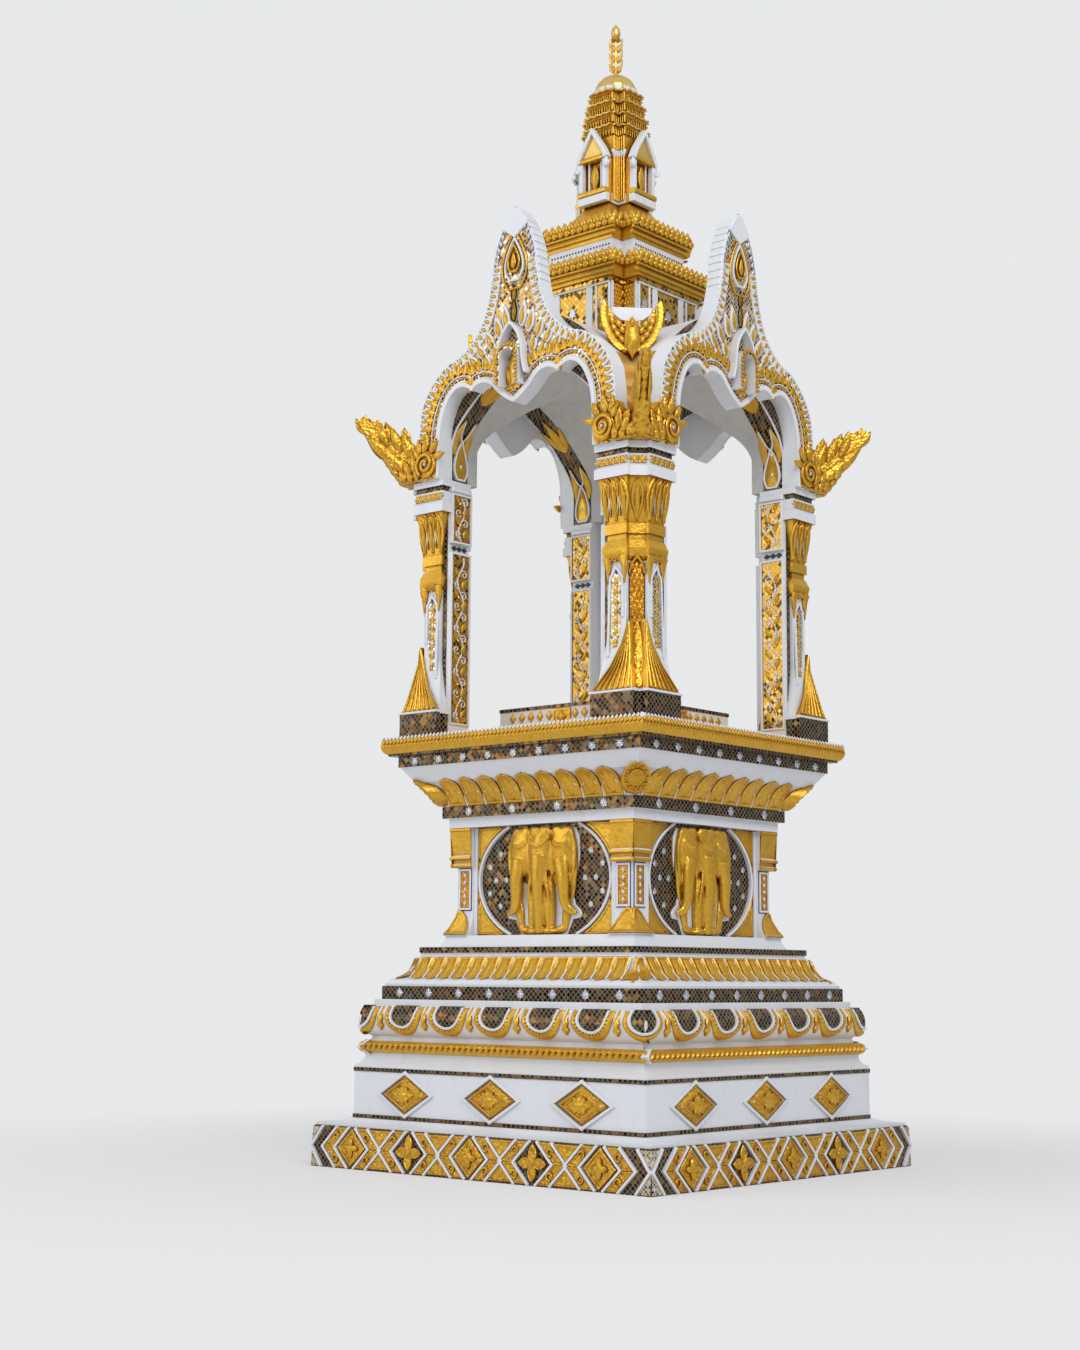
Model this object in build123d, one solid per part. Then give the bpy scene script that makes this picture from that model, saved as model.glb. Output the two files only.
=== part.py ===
"""Thai four-faced spirit house: a pavilion shrine on a moulded pedestal.

The origin is on the ground under the middle of the shrine, +Z is up and the front
faces -Y. All lengths are in millimetres. Each part is written to parts/NAME.step.
"""
import os
from math import cos, pi, sin, sqrt

from build123d import *

# Half the clear opening between the piers, the size that such shrines are sold by
opening_half = 302.0

# Pavilion plan: how far each line lies outside the opening
column_out, pier_out, roof_eave_out, jamb_depth, pier_core = 76.0, 121.0, 78.0, 87.0, 16.0

# Pedestal plan: how far each course stands out or in, each from the one above it
floor_out, edge_out, upper_mirror_in, flare_head_in, flare_foot_in = 106.0, 12.0, 22.0, 37.0, 59.0
fascia_in, wall_in, plinth_top_out, plinth_out = 14.0, 34.0, 38.0, 14.0
petal_head_out, petal_foot_out, lower_mirror_out, swag_lip_out = 48.0, 54.0, 16.0, 16.0
swag_out, neck_in, rope_out, block_out, band_top_out, band_out = 10.0, 4.0, 10.0, 22.0, 80.0, 6.0
dais_half = 246.0

# Pedestal: heights of its courses, from the ground up
band_height, base_cove, block_height, waist_height = 118.0, 20.0, 146.0, 42.0
rope_size, neck_height, swag_height, swag_lip = 34.0, 14.0, 89.0, 18.0
lower_mirror_height, lotus_step, petal_height, lotus_lip = 38.0, 20.0, 64.0, 31.0
plinth_height, wall_height, fascia_height, flare_strip = 34.0, 319.0, 29.0, 34.0
flare_height, cove_height, upper_mirror_height, edge_gap = 73.0, 45.0, 33.0, 6.0
edge_height, edge_lip, dais_height = 40.0, 3.0, 98.0

# Small steps between courses
set_back, fillet, step_in = 4.0, 8.0, 10.0

# Raised diamonds on the block
diamond_width, diamond_height, diamond_pitch = 192.0, 112.0, 330.0
diamond_depth, diamond_bevel, diamond_boss = 12.0, 46.0, 4.0

# Elephant reliefs and corner pilasters of the body
elephant_width, elephant_height, elephant_depth, elephant_bevel = 258.0, 296.0, 44.0, 14.0
pilaster_out, pilaster_width, pilaster_foot_out, pilaster_foot = 14.0, 62.0, 32.0, 70.0
capital_out, capital_neck, capital_ring, capital_rise = 18.0, 8.0, 12.0, 118.0

# Corner columns: plan, then heights from the floor up, then how far each part stands out
column_half, column_notch, column_step = 55.0, 44.0, 12.0
column_plinth, column_collar, column_foot, column_shaft = 70.0, 10.0, 155.0, 215.0
lower_ring, ring_gap, upper_ring, capital_height = 59.0, 18.0, 29.0, 130.0
white_band, carved_band, mirror_strip, top_band = 29.0, 35.0, 15.0, 20.0
plinth_proud, collar_proud, foot_proud, ring_proud = 25.0, 28.0, 23.0, 12.0
flange_proud, capital_proud, head_proud = 6.0, 19.0, 28.0

# Arches and roof: half widths, and heights above the springing
arch_spring, haunch_half, haunch_rise, arch_rise = 110.0, 248.0, 193.0, 350.0
roof_eave_rise, shoulder_half, shoulder_rise = 70.0, 242.0, 357.0
roof_crown_half, roof_rise = 112.0, 440.0

# Gable plate: its outline up to the tip, then its cusped lower edge, above the springing
gable_thick, gable_eave_rise = 49.0, 221.0
hip_half, hip_rise, gable_neck_half, gable_neck_rise = 262.0, 345.0, 116.0, 467.0
spike_half, spike_rise, tip_half, tip_rise = 84.0, 615.0, 14.0, 771.0
pendant_rise, inner_cusp_half, inner_cusp_rise = 181.0, 86.0, 247.0
outer_cusp_half, outer_cusp_rise, lobe_half, lobe_rise = 169.0, 246.0, 262.0, 235.0
hood_half, hood_rise, hood_foot, hood_depth, hood_rim = 41.0, 349.0, 227.0, 38.0, 13.0

# Flames on the corner columns and crests in the roof valleys
flame_out, flame_reach, flame_rise, flame_thick = 10.0, 256.0, 218.0, 30.0
crest_in, crest_half, crest_bottom, crest_rise, crest_thick = 110.0, 84.0, 295.0, 150.0, 26.0

# Drum, eaves and spire
drum_half, drum_notch, drum_height, drum_cap = 205.0, 59.0, 165.0, 14.0
lower_eave_half, upper_eave_half, eave_height, eave_fringe, eave_notch = 235.0, 190.0, 60.0, 24.0, 58.0
eave_cove, eave_band_half, eave_band_height, saddle_height = 16.0, 172.0, 76.0, 95.0
spire_half, spire_notch, storey_height, tier_count, tiers_height = 84.0, 30.0, 219.0, 4, 166.0
niche_half, niche_post, niche_rise, niche_depth, niche_rim = 52.0, 143.0, 229.0, 16.0, 9.0
dome_half, dome_height, dome_gores = 69.0, 72.0, 16
stem_half, bud_half, finial_height, bud_height = 4.0, 13.0, 177.0, 62.0
sprig_reach, sprig_rise, sprig_thick, sprig_count = 27.0, 34.0, 5.0, 3

# Half widths that follow
column_centre = opening_half + column_out
pier_outer = opening_half + pier_out
roof_eave_half = opening_half + roof_eave_out
column_radius = sqrt(2) * column_centre
flame_foot = column_radius + flame_out
crest_radius = column_radius - crest_in
floor_half = column_centre + floor_out
edge_half = floor_half + edge_out
upper_mirror_half = floor_half - upper_mirror_in
flare_head_half = upper_mirror_half - flare_head_in
flare_foot_half = flare_head_half - flare_foot_in
fascia_half = flare_foot_half - fascia_in
wall_half = fascia_half - wall_in
pilaster_half = wall_half + pilaster_out
capital_half = pilaster_half + capital_out
plinth_top_half = wall_half + plinth_top_out
plinth_half = plinth_top_half + plinth_out
petal_head_half = plinth_half + petal_head_out
petal_foot_half = petal_head_half + petal_foot_out
lower_mirror_half = petal_foot_half + lower_mirror_out
swag_lip_half = lower_mirror_half + swag_lip_out
swag_half = swag_lip_half + swag_out
neck_half = swag_half - neck_in
rope_half = neck_half + rope_out
block_half = rope_half + block_out
band_top_half = block_half + band_top_out
band_half = band_top_half + band_out

# Levels that follow
block_bottom = band_height + base_cove
block_top = block_bottom + block_height
rope_bottom = block_top + waist_height
neck_bottom = rope_bottom + rope_size
swag_bottom = neck_bottom + neck_height
swag_top = swag_bottom + swag_height
lower_mirror_bottom = swag_top + swag_lip
lotus_bottom = lower_mirror_bottom + lower_mirror_height
petal_foot = lotus_bottom + lotus_step
petal_head = petal_foot + petal_height
body_foot = petal_head + lotus_lip
wall_foot = body_foot + plinth_height
wall_top = wall_foot + wall_height
strip_bottom = wall_top + fascia_height
flare_foot = strip_bottom + flare_strip
flare_head = flare_foot + flare_height
upper_mirror_bottom = flare_head + cove_height
upper_mirror_top = upper_mirror_bottom + upper_mirror_height
edge_bottom = upper_mirror_top + edge_gap
edge_top = edge_bottom + edge_height
floor_level = edge_top + edge_lip
spring_level = floor_level + sum((
    column_plinth, column_collar, column_foot, column_shaft, lower_ring, ring_gap, upper_ring,
    capital_height, white_band, carved_band, mirror_strip, top_band,
))
drum_bottom = spring_level + roof_rise
drum_top = drum_bottom + drum_height
upper_eave_bottom = drum_top + eave_height + eave_band_height
spire_bottom = upper_eave_bottom + eave_height + saddle_height
tiers_bottom = spire_bottom + storey_height
dome_bottom = tiers_bottom + tiers_height
finial_bottom = dome_bottom + dome_height

REACH = 2.0 * band_half
CORNERS = {"back_right": 0, "back_left": 90, "front_left": 180, "front_right": 270}
FACES = {"front": 0, "right": 90, "back": 180, "left": 270}


def path(start, steps):
    """Edges from a start point through the steps.

    A step is a point, or a pair (point, bulge) for an arc. Its bulge is the height of the
    arc as a share of its chord, to the right of the way it runs, or to the left if negative.
    """
    lines, at = [], start
    for step in steps:
        end, bulge = step if isinstance(step[0], tuple) else (step, 0.0)
        if bulge:
            across, up = end[0] - at[0], end[1] - at[1]
            middle = ((at[0] + end[0]) / 2 + bulge * up, (at[1] + end[1]) / 2 - bulge * across)
            lines.append(ThreePointArc(at, middle, end))
        elif end != at:
            lines.append(Line(at, end))
        at = end
    return lines


def half_face(start, *steps):
    """Face in the XZ plane between the Z axis and an outline that runs upward."""
    top = steps[-1][0] if isinstance(steps[-1][0], tuple) else steps[-1]
    return Plane.XZ * make_face(path((0.0, start[1]), [start, *steps, (0.0, top[1]), (0.0, start[1])]))


def both_sides(right, left=None):
    """A half face and its mirror image, or that of another half face."""
    return right + mirror(left or right, Plane.YZ)


def mitred(profile, sides=4):
    """Solid with one profile on every side of a regular plan."""
    bar = extrude(both_sides(profile), amount=REACH, both=True)
    solid = bar
    for turn in range(1, sides // 2):
        solid = solid & bar.rotate(Axis.Z, 360 * turn / sides)
    return solid


def inward(levels, inset):
    """Points of a profile moved towards the axis."""
    return [(half - inset, height) for half, height in levels]


def redented(steps, levels, one_corner=False):
    """Solid with one profile round a plan that steps back at its corners, or at one of them.

    Each step is a pair of insets, for the bar along X and the bar along Y that cross there.
    """
    solid = None
    for pair in steps:
        bars = []
        for inset in pair:
            right = half_face(*inward(levels, inset))
            left = half_face(*levels) if one_corner else right
            bars.append(extrude(both_sides(right, left), amount=REACH, both=True))
        piece = bars[0] & bars[1].rotate(Axis.Z, 90)
        solid = piece if solid is None else solid + piece
    return solid


def prism(points, bottom, top):
    """Upright prism over a plan outline."""
    face = make_face(Polyline(*points, close=True))
    return Pos(0, 0, bottom) * extrude(face, amount=top - bottom)


def relief(points, depth, bevel):
    """Plate on the wall that faces -Y, with sides that lean in by a bevel in degrees."""
    return Plane.XZ * extrude(make_face(Polyline(*points, close=True)), amount=depth, taper=bevel)


def around(solid):
    """The same solid on all four sides or corners, as one part."""
    return Compound([copy for turn in FACES.values() for copy in solid.rotate(Axis.Z, turn).solids()])


def pedestal():
    """Courses of the pedestal, from the ground to the platform floor."""
    profiles = {
        "base_band": [(band_half, 0.0), (band_top_half, band_height)],
        "base_moulding": [
            (band_top_half - set_back, band_height), (band_top_half - set_back, band_height + fillet),
            ((block_half + step_in, block_bottom), -0.07),
        ],
        "diamond_block": [(block_half, block_bottom), (block_half, block_top)],
        "waist_moulding": [
            (block_half, block_top), (block_half, block_top + fillet), ((rope_half, rope_bottom), -0.19),
        ],
        "rope_moulding": [(rope_half, rope_bottom), ((rope_half, neck_bottom), 0.47)],
        "swag_cornice": [
            (neck_half, neck_bottom), (neck_half - set_back, swag_bottom), ((swag_half, swag_top), 0.29),
            (swag_lip_half, swag_top), (swag_lip_half, lower_mirror_bottom),
        ],
        "lower_mirror_band": [(lower_mirror_half, lower_mirror_bottom), (lower_mirror_half, lotus_bottom)],
        "lower_lotus_tier": [
            (petal_foot_half + step_in, lotus_bottom), (petal_foot_half + step_in, lotus_bottom + fillet),
            (petal_foot_half, petal_foot - set_back), (petal_foot_half, petal_foot),
            ((petal_head_half, petal_head), -0.165), (petal_head_half - step_in, petal_head + fillet),
            (petal_head_half - step_in, body_foot),
        ],
        "body_plinth": [(plinth_half, body_foot), ((plinth_top_half, wall_foot), -0.065)],
        "body_wall": [(wall_half, wall_foot), (wall_half, wall_top)],
        "body_fascia": [(fascia_half, wall_top), (fascia_half, strip_bottom)],
        "upper_lotus_tier": [
            (flare_foot_half, strip_bottom), (flare_foot_half, flare_foot),
            ((flare_head_half, flare_head), -0.126), (upper_mirror_half - set_back, upper_mirror_bottom),
        ],
        "upper_mirror_band": [
            (upper_mirror_half, upper_mirror_bottom), (upper_mirror_half, upper_mirror_top),
            (floor_half, upper_mirror_top), (floor_half, edge_bottom),
        ],
        "platform_edge": [
            (floor_half + set_back, edge_bottom), ((edge_half, edge_top), 0.2),
            (floor_half, edge_top), (floor_half, floor_level),
        ],
        "dais": [(dais_half, floor_level), (dais_half, floor_level + dais_height)],
    }
    return {name: mitred(half_face(*profile)) for name, profile in profiles.items()}


def block_diamonds():
    """Three raised diamonds on each side of the block: bevelled, with a boss on the flat top."""
    middle = block_bottom + block_height / 2
    w, h = diamond_width / 2, diamond_height / 2
    diamond = relief([(w, 0), (0, h), (-w, 0), (0, -h)], diamond_depth, diamond_bevel)
    boss = relief([(w / 2, 0), (0, h / 2), (-w / 2, 0), (0, -h / 2)], diamond_boss, diamond_bevel)
    diamond += Pos(0, -diamond_depth, 0) * boss
    row = [Pos(k * diamond_pitch, -block_half, middle) * diamond for k in (-1, 0, 1)]
    return around(Compound(row))


def elephant():
    """Three-headed elephant in relief: body, ears, heads, legs and three trunks."""
    w, h, d = elephant_width / 2, elephant_height, elephant_depth
    centred = [
        ([(0.3, 0.62), (0.36, 0.78), (0.26, 0.94), (0.1, 1.0)], d, 1.3 * elephant_bevel),
        ([(0.13, 0.0), (0.2, 0.68)], 0.97 * d, 0.7 * elephant_bevel),
        ([(0.7, 0.04), (0.86, 0.3), (0.92, 0.86), (0.5, 0.96)], 0.3 * d, elephant_bevel),
    ]
    paired = [
        ([(0.4, 0.64), (0.74, 0.64), (0.8, 0.84), (0.66, 0.96), (0.46, 0.96), (0.36, 0.84)], 0.8, 1.3),
        ([(0.44, 0.72), (0.48, 0.36), (0.58, 0.22), (0.8, 0.17), (0.99, 0.2), (0.95, 0.27), (0.8, 0.28),
          (0.7, 0.36), (0.7, 0.72)], 0.74, 0.0),
        ([(0.7, 0.58), (0.92, 0.55), (1.0, 0.68), (0.98, 0.9), (0.82, 0.95), (0.7, 0.84)], 0.5, 1.0),
        ([(0.2, 0.0), (0.46, 0.0), (0.42, 0.56), (0.22, 0.56)], 0.55, 0.8),
        ([(0.54, 0.0), (0.82, 0.0), (0.78, 0.14), (0.58, 0.14)], 0.55, 0.8),
    ]
    figure = None
    for points, depth, bevel in centred:
        sides = [(x * w, z * h) for x, z in points]
        piece = relief(sides + [(-x, z) for x, z in reversed(sides)], depth, bevel)
        figure = piece if figure is None else figure + piece
    for points, depth, bevel in paired:
        piece = relief([(x * w, z * h) for x, z in points], depth * d, bevel * elephant_bevel)
        figure += piece + mirror(piece, Plane.YZ)
    return Pos(0, -wall_half, wall_foot) * figure


def pilaster():
    """Corner pilaster of the body: flared foot, plain shaft and ringed capital."""
    inner, capital = pilaster_half - pilaster_width, wall_top - capital_rise
    profile = half_face(
        (pilaster_half + pilaster_foot_out, wall_foot), ((pilaster_half, wall_foot + pilaster_foot), -0.12),
        (pilaster_half, capital), (capital_half - set_back, capital + set_back),
        (capital_half - set_back, capital + capital_ring), (capital_half - step_in, capital + capital_ring),
        (capital_half - step_in, capital + capital_ring + capital_neck),
        (capital_half, capital + capital_ring + capital_neck + set_back),
        (capital_half, capital + 2 * capital_ring + capital_neck),
        (capital_half - fillet, capital + 2 * capital_ring + 2 * capital_neck),
        (capital_half - fillet, wall_top - capital_ring), (capital_half, wall_top - capital_ring),
        (capital_half, wall_top),
    )
    corner = prism([(inner, inner), (REACH, inner), (REACH, REACH), (inner, REACH)], wall_foot, wall_top)
    wall = prism([(0, 0), (wall_half, 0), (wall_half, wall_half), (0, wall_half)], wall_foot, wall_top)
    return (mitred(profile) & corner) - wall


def pier():
    """Corner pier of the pavilion, open at its outer corner where the column stands."""
    a, b, j = opening_half, pier_outer, pier_outer - jamb_depth
    leg = j + pier_core
    return prism([(a, j), (j, j), (j, a), (b, a), (b, leg), (leg, leg), (leg, b), (a, b)],
                 floor_level, spring_level)


def room_corner():
    """Space between the jambs at one corner, inside the pier."""
    inner = pier_outer - jamb_depth
    return prism([(0, 0), (inner, 0), (inner, inner), (0, inner)], floor_level, spring_level)


def column():
    """Corner column: plinth, flared foot, shaft, rings, leaf capital and bands."""
    s, z = column_half, floor_level
    levels = [(s + plinth_proud, z)]
    courses = (
        (column_plinth, (plinth_proud, 1.0), (collar_proud, 1.0)),
        (column_collar, (collar_proud, 1.0), (foot_proud, 1.0)),
        (column_foot, (0.35 * foot_proud, 0.63), (0.0, 1.0)),
        (column_shaft, (0.0, 1.0)),
        (lower_ring, (0.7 * ring_proud, 0.2), (ring_proud, 0.6), (0.3 * ring_proud, 1.0), (0.0, 1.0)),
        (ring_gap, (0.0, 1.0), (flange_proud, 1.0)),
        (upper_ring, (flange_proud, 1.0), (0.3 * flange_proud, 1.0)),
        (capital_height, (0.4 * capital_proud, 0.53), (capital_proud, 1.0), (head_proud, 1.0)),
        (white_band, (head_proud, 1.0), (foot_proud, 1.0)),
        (carved_band, (foot_proud, 1.0), (capital_proud, 1.0)),
        (mirror_strip, (capital_proud, 1.0), (head_proud, 1.0)),
        (top_band, (head_proud, 1.0)),
    )
    for height, *points in courses:
        levels += [(s + proud, z + share * height) for proud, share in points]
        z += height
    sides = redented([(0.0, column_notch), (column_notch, 0.0)], levels, one_corner=True)
    chamfer = [((2 * half - column_notch - column_step) / sqrt(2), height) for half, height in levels]
    corner_bar = extrude(
        both_sides(half_face(*chamfer), half_face(*inward(chamfer, -column_half))), amount=REACH, both=True
    )
    core = redented([(column_step, column_step)], levels, one_corner=True) & corner_bar.rotate(Axis.Z, 45)
    return Pos(column_centre, column_centre, 0) * (sides + core)


def roof_section():
    """Outer section of the pavilion roof, the same along X and along Y."""
    z = spring_level
    return half_face(
        (roof_eave_half, z), (roof_eave_half, z + roof_eave_rise),
        ((shoulder_half, z + shoulder_rise), 0.117), ((roof_crown_half, z + roof_rise), 0.035),
    )


def arch_section():
    """Pointed opening of one face, from just under the springing to the crown."""
    z = spring_level
    return half_face(
        (opening_half, z - 1), (opening_half, z + arch_spring),
        ((haunch_half, z + haunch_rise), 0.09), ((0.5, z + arch_rise), 0.055),
    )


def crossing(section, reach):
    """Union of a section run along Y and the same section run along X."""
    bar = extrude(both_sides(section), amount=reach, both=True)
    return bar + bar.rotate(Axis.Z, 90)


def roof_quarter():
    """Quarter over one pier of the vaulted roof, whose quarters meet at the arch crowns."""
    roof = crossing(roof_section(), pier_outer) - crossing(arch_section(), 2 * pier_outer)
    return roof & prism([(0, 0), (REACH, 0), (REACH, REACH), (0, REACH)], floor_level, drum_top)


def gable():
    """Front gable plate: curved outline to a tall point, cusped lower edge, hooded centre."""
    z = spring_level
    face = Plane.XZ * make_face(path((opening_half, z), [
        (column_centre, z), ((column_centre - set_back, z + gable_eave_rise), 0.04),
        ((hip_half, z + hip_rise), 0.095), ((gable_neck_half, z + gable_neck_rise), -0.133),
        ((spike_half, z + spike_rise), -0.032), ((tip_half, z + tip_rise), 0.067),
        (0.0, z + tip_rise), (0.0, z + pendant_rise), ((inner_cusp_half, z + inner_cusp_rise), 0.06),
        ((outer_cusp_half, z + outer_cusp_rise), -0.187), ((lobe_half, z + lobe_rise), -0.26),
        ((opening_half - set_back, z + arch_spring), -0.077), (opening_half, z),
    ]))
    plate = extrude(both_sides(face), amount=gable_thick)
    foot, inner = z + hood_foot, hood_half - hood_rim
    outside = half_face((hood_half, foot), (hood_half, z + hood_rise - hood_half), ((0.0, z + hood_rise), 0.2))
    inside = half_face((inner, foot), (inner, z + hood_rise - hood_half), ((0.0, z + hood_rise - hood_rim), 0.2))
    hood = extrude(both_sides(outside) - both_sides(inside), amount=gable_thick + hood_depth)
    return Pos(0, -pier_outer, 0) * (plate + hood)


def corner_flame():
    """Flame finial that stands on a corner column and leans outward, with four spikes."""
    shares = [
        (0.07, 0.0), (0.4, 0.0), (0.52, 0.17), (0.67, 0.43), (0.85, 0.7), (1.0, 0.9), (0.885, 1.0),
        (0.83, 0.88), (0.72, 0.945), (0.66, 0.81), (0.55, 0.84), (0.49, 0.7), (0.35, 0.75),
        (0.32, 0.56), (0.27, 0.42), (0.18, 0.46), (0.06, 0.4), (0.0, 0.3), (0.0, 0.14),
    ]
    points = [(flame_foot + x * flame_reach, spring_level + z * flame_rise) for x, z in shares]
    blade = extrude(Plane.XZ * make_face(Polyline(*points, close=True)), amount=flame_thick / 2, both=True)
    return blade.rotate(Axis.Z, 45)


def valley_crest():
    """Horned crest at the head of a roof valley, seen from the corner."""
    shares = [
        (0.0, 0.0), (0.3, 0.1), (0.62, 0.33), (0.8, 0.46), (0.86, 0.6), (0.98, 0.66), (1.0, 0.86), (0.88, 1.0),
        (0.69, 0.86), (0.6, 0.69), (0.29, 0.6), (0.12, 0.81), (0.0, 0.9),
    ]
    right = [(x * crest_half, spring_level + crest_bottom + z * crest_rise) for x, z in shares]
    points = right + [(-x, z) for x, z in reversed(right[1:-1])]
    plate = extrude(Plane.YZ * make_face(Polyline(*points, close=True)), amount=crest_thick)
    return (Pos(crest_radius, 0, 0) * plate).rotate(Axis.Z, 45)


def eave(bottom, half):
    """Profile of a gold eave: smooth cove that leans outwards, with a leaf fringe above it."""
    top = bottom + eave_height
    return [
        (half - eave_cove, bottom), (half - fillet, top - eave_fringe), (half, top - eave_fringe),
        (half, top - set_back), (half - set_back, top),
    ]


def head_of_roof():
    """Drum, eaves and the band between them, all on plans with a notch at each corner."""
    band_bottom, upper_top = drum_top + eave_height, upper_eave_bottom + eave_height
    notch = eave_notch - 1.5 * fillet
    profiles = {
        "drum": (drum_notch, [
            (drum_half, drum_bottom), (drum_half, drum_top - drum_cap), (drum_half + fillet, drum_top - drum_cap),
            (drum_half + fillet, drum_top),
        ]),
        "lower_eave": (eave_notch, eave(drum_top, lower_eave_half)),
        "eave_band": (notch, [
            (eave_band_half + 3 * fillet, band_bottom), (eave_band_half + fillet, band_bottom + fillet),
            (eave_band_half + fillet, band_bottom + 3 * fillet), (eave_band_half, band_bottom + 3 * fillet),
            (eave_band_half, upper_eave_bottom),
        ]),
        "upper_eave": (notch, eave(upper_eave_bottom, upper_eave_half) + [
            (0.68 * upper_eave_half, upper_top + 0.42 * saddle_height), (spire_half + fillet, spire_bottom),
        ]),
    }
    return {name: redented([(0.0, n), (n, 0.0)], levels) for name, (n, levels) in profiles.items()}


def spire_niches():
    """Pedimented niche on each side of the spire, framed by a raised rim."""
    z, rim = spire_bottom, niche_rim
    outside = half_face((niche_half, z), (niche_half, z + niche_post), (0.0, z + niche_rise))
    inside = half_face((niche_half - rim, z + rim), (niche_half - rim, z + niche_post - rim),
                       (0.0, z + niche_rise - 2.5 * rim))
    niche = extrude(both_sides(outside), amount=niche_depth)
    recess = Pos(0, -niche_depth / 2, 0) * extrude(both_sides(inside), amount=niche_depth)
    return around(Pos(0, -spire_half, 0) * (niche - recess))


def finial():
    """Thin stem with pairs of upturned leaf sprigs, under a flame bud."""
    z, bud = finial_bottom, finial_bottom + finial_height - bud_height
    tip = finial_bottom + finial_height
    stem = mitred(half_face(
        (2 * stem_half, z), (stem_half, z + 3 * stem_half), (stem_half, bud), (bud_half, bud + 0.35 * bud_height),
        (0.3 * bud_half, bud + 0.8 * bud_height), (0.1 * bud_half, tip),
    ), sides=8)
    half_sprig = [(0.0, 0.0), (0.55, -0.06), (0.95, 0.25), (1.0, 1.0), (0.7, 0.45), (0.0, 0.35)]
    for k in range(sprig_count):
        foot = z + 4 * stem_half + k * (bud - z) / (sprig_count + 0.3)
        right = [(x * sprig_reach, foot + h * sprig_rise) for x, h in half_sprig]
        outline = right + [(-x, h) for x, h in reversed(right[1:-1])]
        leaf = extrude(Plane.XZ * make_face(Polyline(*outline, close=True)), amount=sprig_thick / 2, both=True)
        stem += leaf + leaf.rotate(Axis.Z, 90)
    return stem


def spire():
    """Niche storey, stepped tiers with turned-out lips, ribbed dome and leaf finial."""
    steps = [(0.0, spire_notch), (spire_notch, 0.0)]
    levels, rise = [], tiers_height / tier_count
    for k in range(tier_count):
        low, half = tiers_bottom + k * rise, spire_half - k * (k + 2)
        levels += [(half - step_in, low), (half - set_back, low + 0.6 * rise), (half + set_back, low + 0.75 * rise),
                   (half + set_back, low + 0.92 * rise), (half - step_in, low + rise)]
    dome = [(dome_half * cos(k * pi / 10), dome_bottom + dome_height * sin(k * pi / 10)) for k in range(5)]
    dome.append((2 * stem_half, finial_bottom))
    return {
        "spire_body": redented(steps, [(spire_half, spire_bottom), (spire_half - set_back, tiers_bottom)]),
        "spire_tiers": redented(steps, levels),
        "dome": mitred(half_face(*dome), sides=dome_gores),
        "finial": finial(),
        "spire_niches": spire_niches(),
    }


def build():
    """All parts by name."""
    parts = pedestal()
    parts["block_diamonds"] = block_diamonds()
    parts["elephant_reliefs"] = around(elephant())
    parts["pilasters"] = around(pilaster())
    gable_plate = gable()
    for face, turn in FACES.items():
        parts[f"gable_{face}"] = gable_plate.rotate(Axis.Z, turn)
    pier_solid, quarter = pier(), roof_quarter()
    column_solid = column() - pier_solid - room_corner()
    for corner, turn in CORNERS.items():
        parts[f"pier_{corner}"] = pier_solid.rotate(Axis.Z, turn)
        parts[f"column_{corner}"] = column_solid.rotate(Axis.Z, turn)
        parts[f"roof_{corner}"] = quarter.rotate(Axis.Z, turn)
    parts["corner_flames"] = around(corner_flame() - quarter)
    parts["valley_crests"] = around(valley_crest() - quarter)
    parts.update(head_of_roof())
    parts.update(spire())
    return parts


os.makedirs("parts", exist_ok=True)
for part_name, part_solid in build().items():
    export_step(part_solid, f"parts/{part_name}.step")
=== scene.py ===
"""Finishes and carved ornament of a four-faced spirit house.

The plain castings come from the frame. This script paints them white and gold, tiles them
with mirror mosaic, and adds the carved work: lotus petals, swags, elephants, scroll panels,
gable leaves, flame finials, eave fringes and the niches of the spire. Sizes are in
millimetres, heights are above the ground, and every face of the shrine is alike.
"""

import logging
import math
from dataclasses import dataclass, field
from enum import Enum
from functools import cache
from typing import Callable, Iterable, Protocol, Sequence

import bpy
import numpy as np
from mathutils import Matrix, Vector


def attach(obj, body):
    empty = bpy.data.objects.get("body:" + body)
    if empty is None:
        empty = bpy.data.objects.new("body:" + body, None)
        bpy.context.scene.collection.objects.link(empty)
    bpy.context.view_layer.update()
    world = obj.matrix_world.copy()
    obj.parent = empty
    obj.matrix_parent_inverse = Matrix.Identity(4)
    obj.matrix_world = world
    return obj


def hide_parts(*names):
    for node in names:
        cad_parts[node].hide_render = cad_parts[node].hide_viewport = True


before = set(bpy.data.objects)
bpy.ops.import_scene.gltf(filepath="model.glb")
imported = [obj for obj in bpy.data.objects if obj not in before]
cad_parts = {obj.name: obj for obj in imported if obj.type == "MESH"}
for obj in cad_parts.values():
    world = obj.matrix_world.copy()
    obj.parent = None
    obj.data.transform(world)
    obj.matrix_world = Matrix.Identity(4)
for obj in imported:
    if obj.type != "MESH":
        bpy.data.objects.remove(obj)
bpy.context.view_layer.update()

MM = 0.001
ROOT = math.sqrt(2)
FACES = (0, 90, 180, 270)
DIAGONALS = (45, 135, 225, 315)
LOG = logging.getLogger("spirit_house")

Array = np.ndarray
Mesh = bpy.types.Mesh
Socket = bpy.types.NodeSocket
Point = tuple[float, float]
Surface = Callable[[Array], Array]
Colour = tuple[float, float, float]


class Slot(Enum):
    """Kinds of finish: white, gold and mosaic."""

    WHITE = "white"
    GOLD = "gold"
    MOSAIC = "mosaic"


# Surfaces that ornament lies on


def flat(half: float) -> Surface:
    """Upright wall at a half width."""
    return lambda z: np.full_like(z, half)


def moulded(*points: Point, add: float = 0.0, times: float = 1.0) -> Surface:
    """Moulding whose half width changes with height.

    Args:
        points: (height, half width) pairs, upwards.
        add: what is added to each half width.
        times: what each half width is multiplied by first.

    Returns:
        The moulding's half width at any height.
    """
    heights, halves = zip(*points)
    return lambda z: np.interp(z, heights, halves) * times + add


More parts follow.
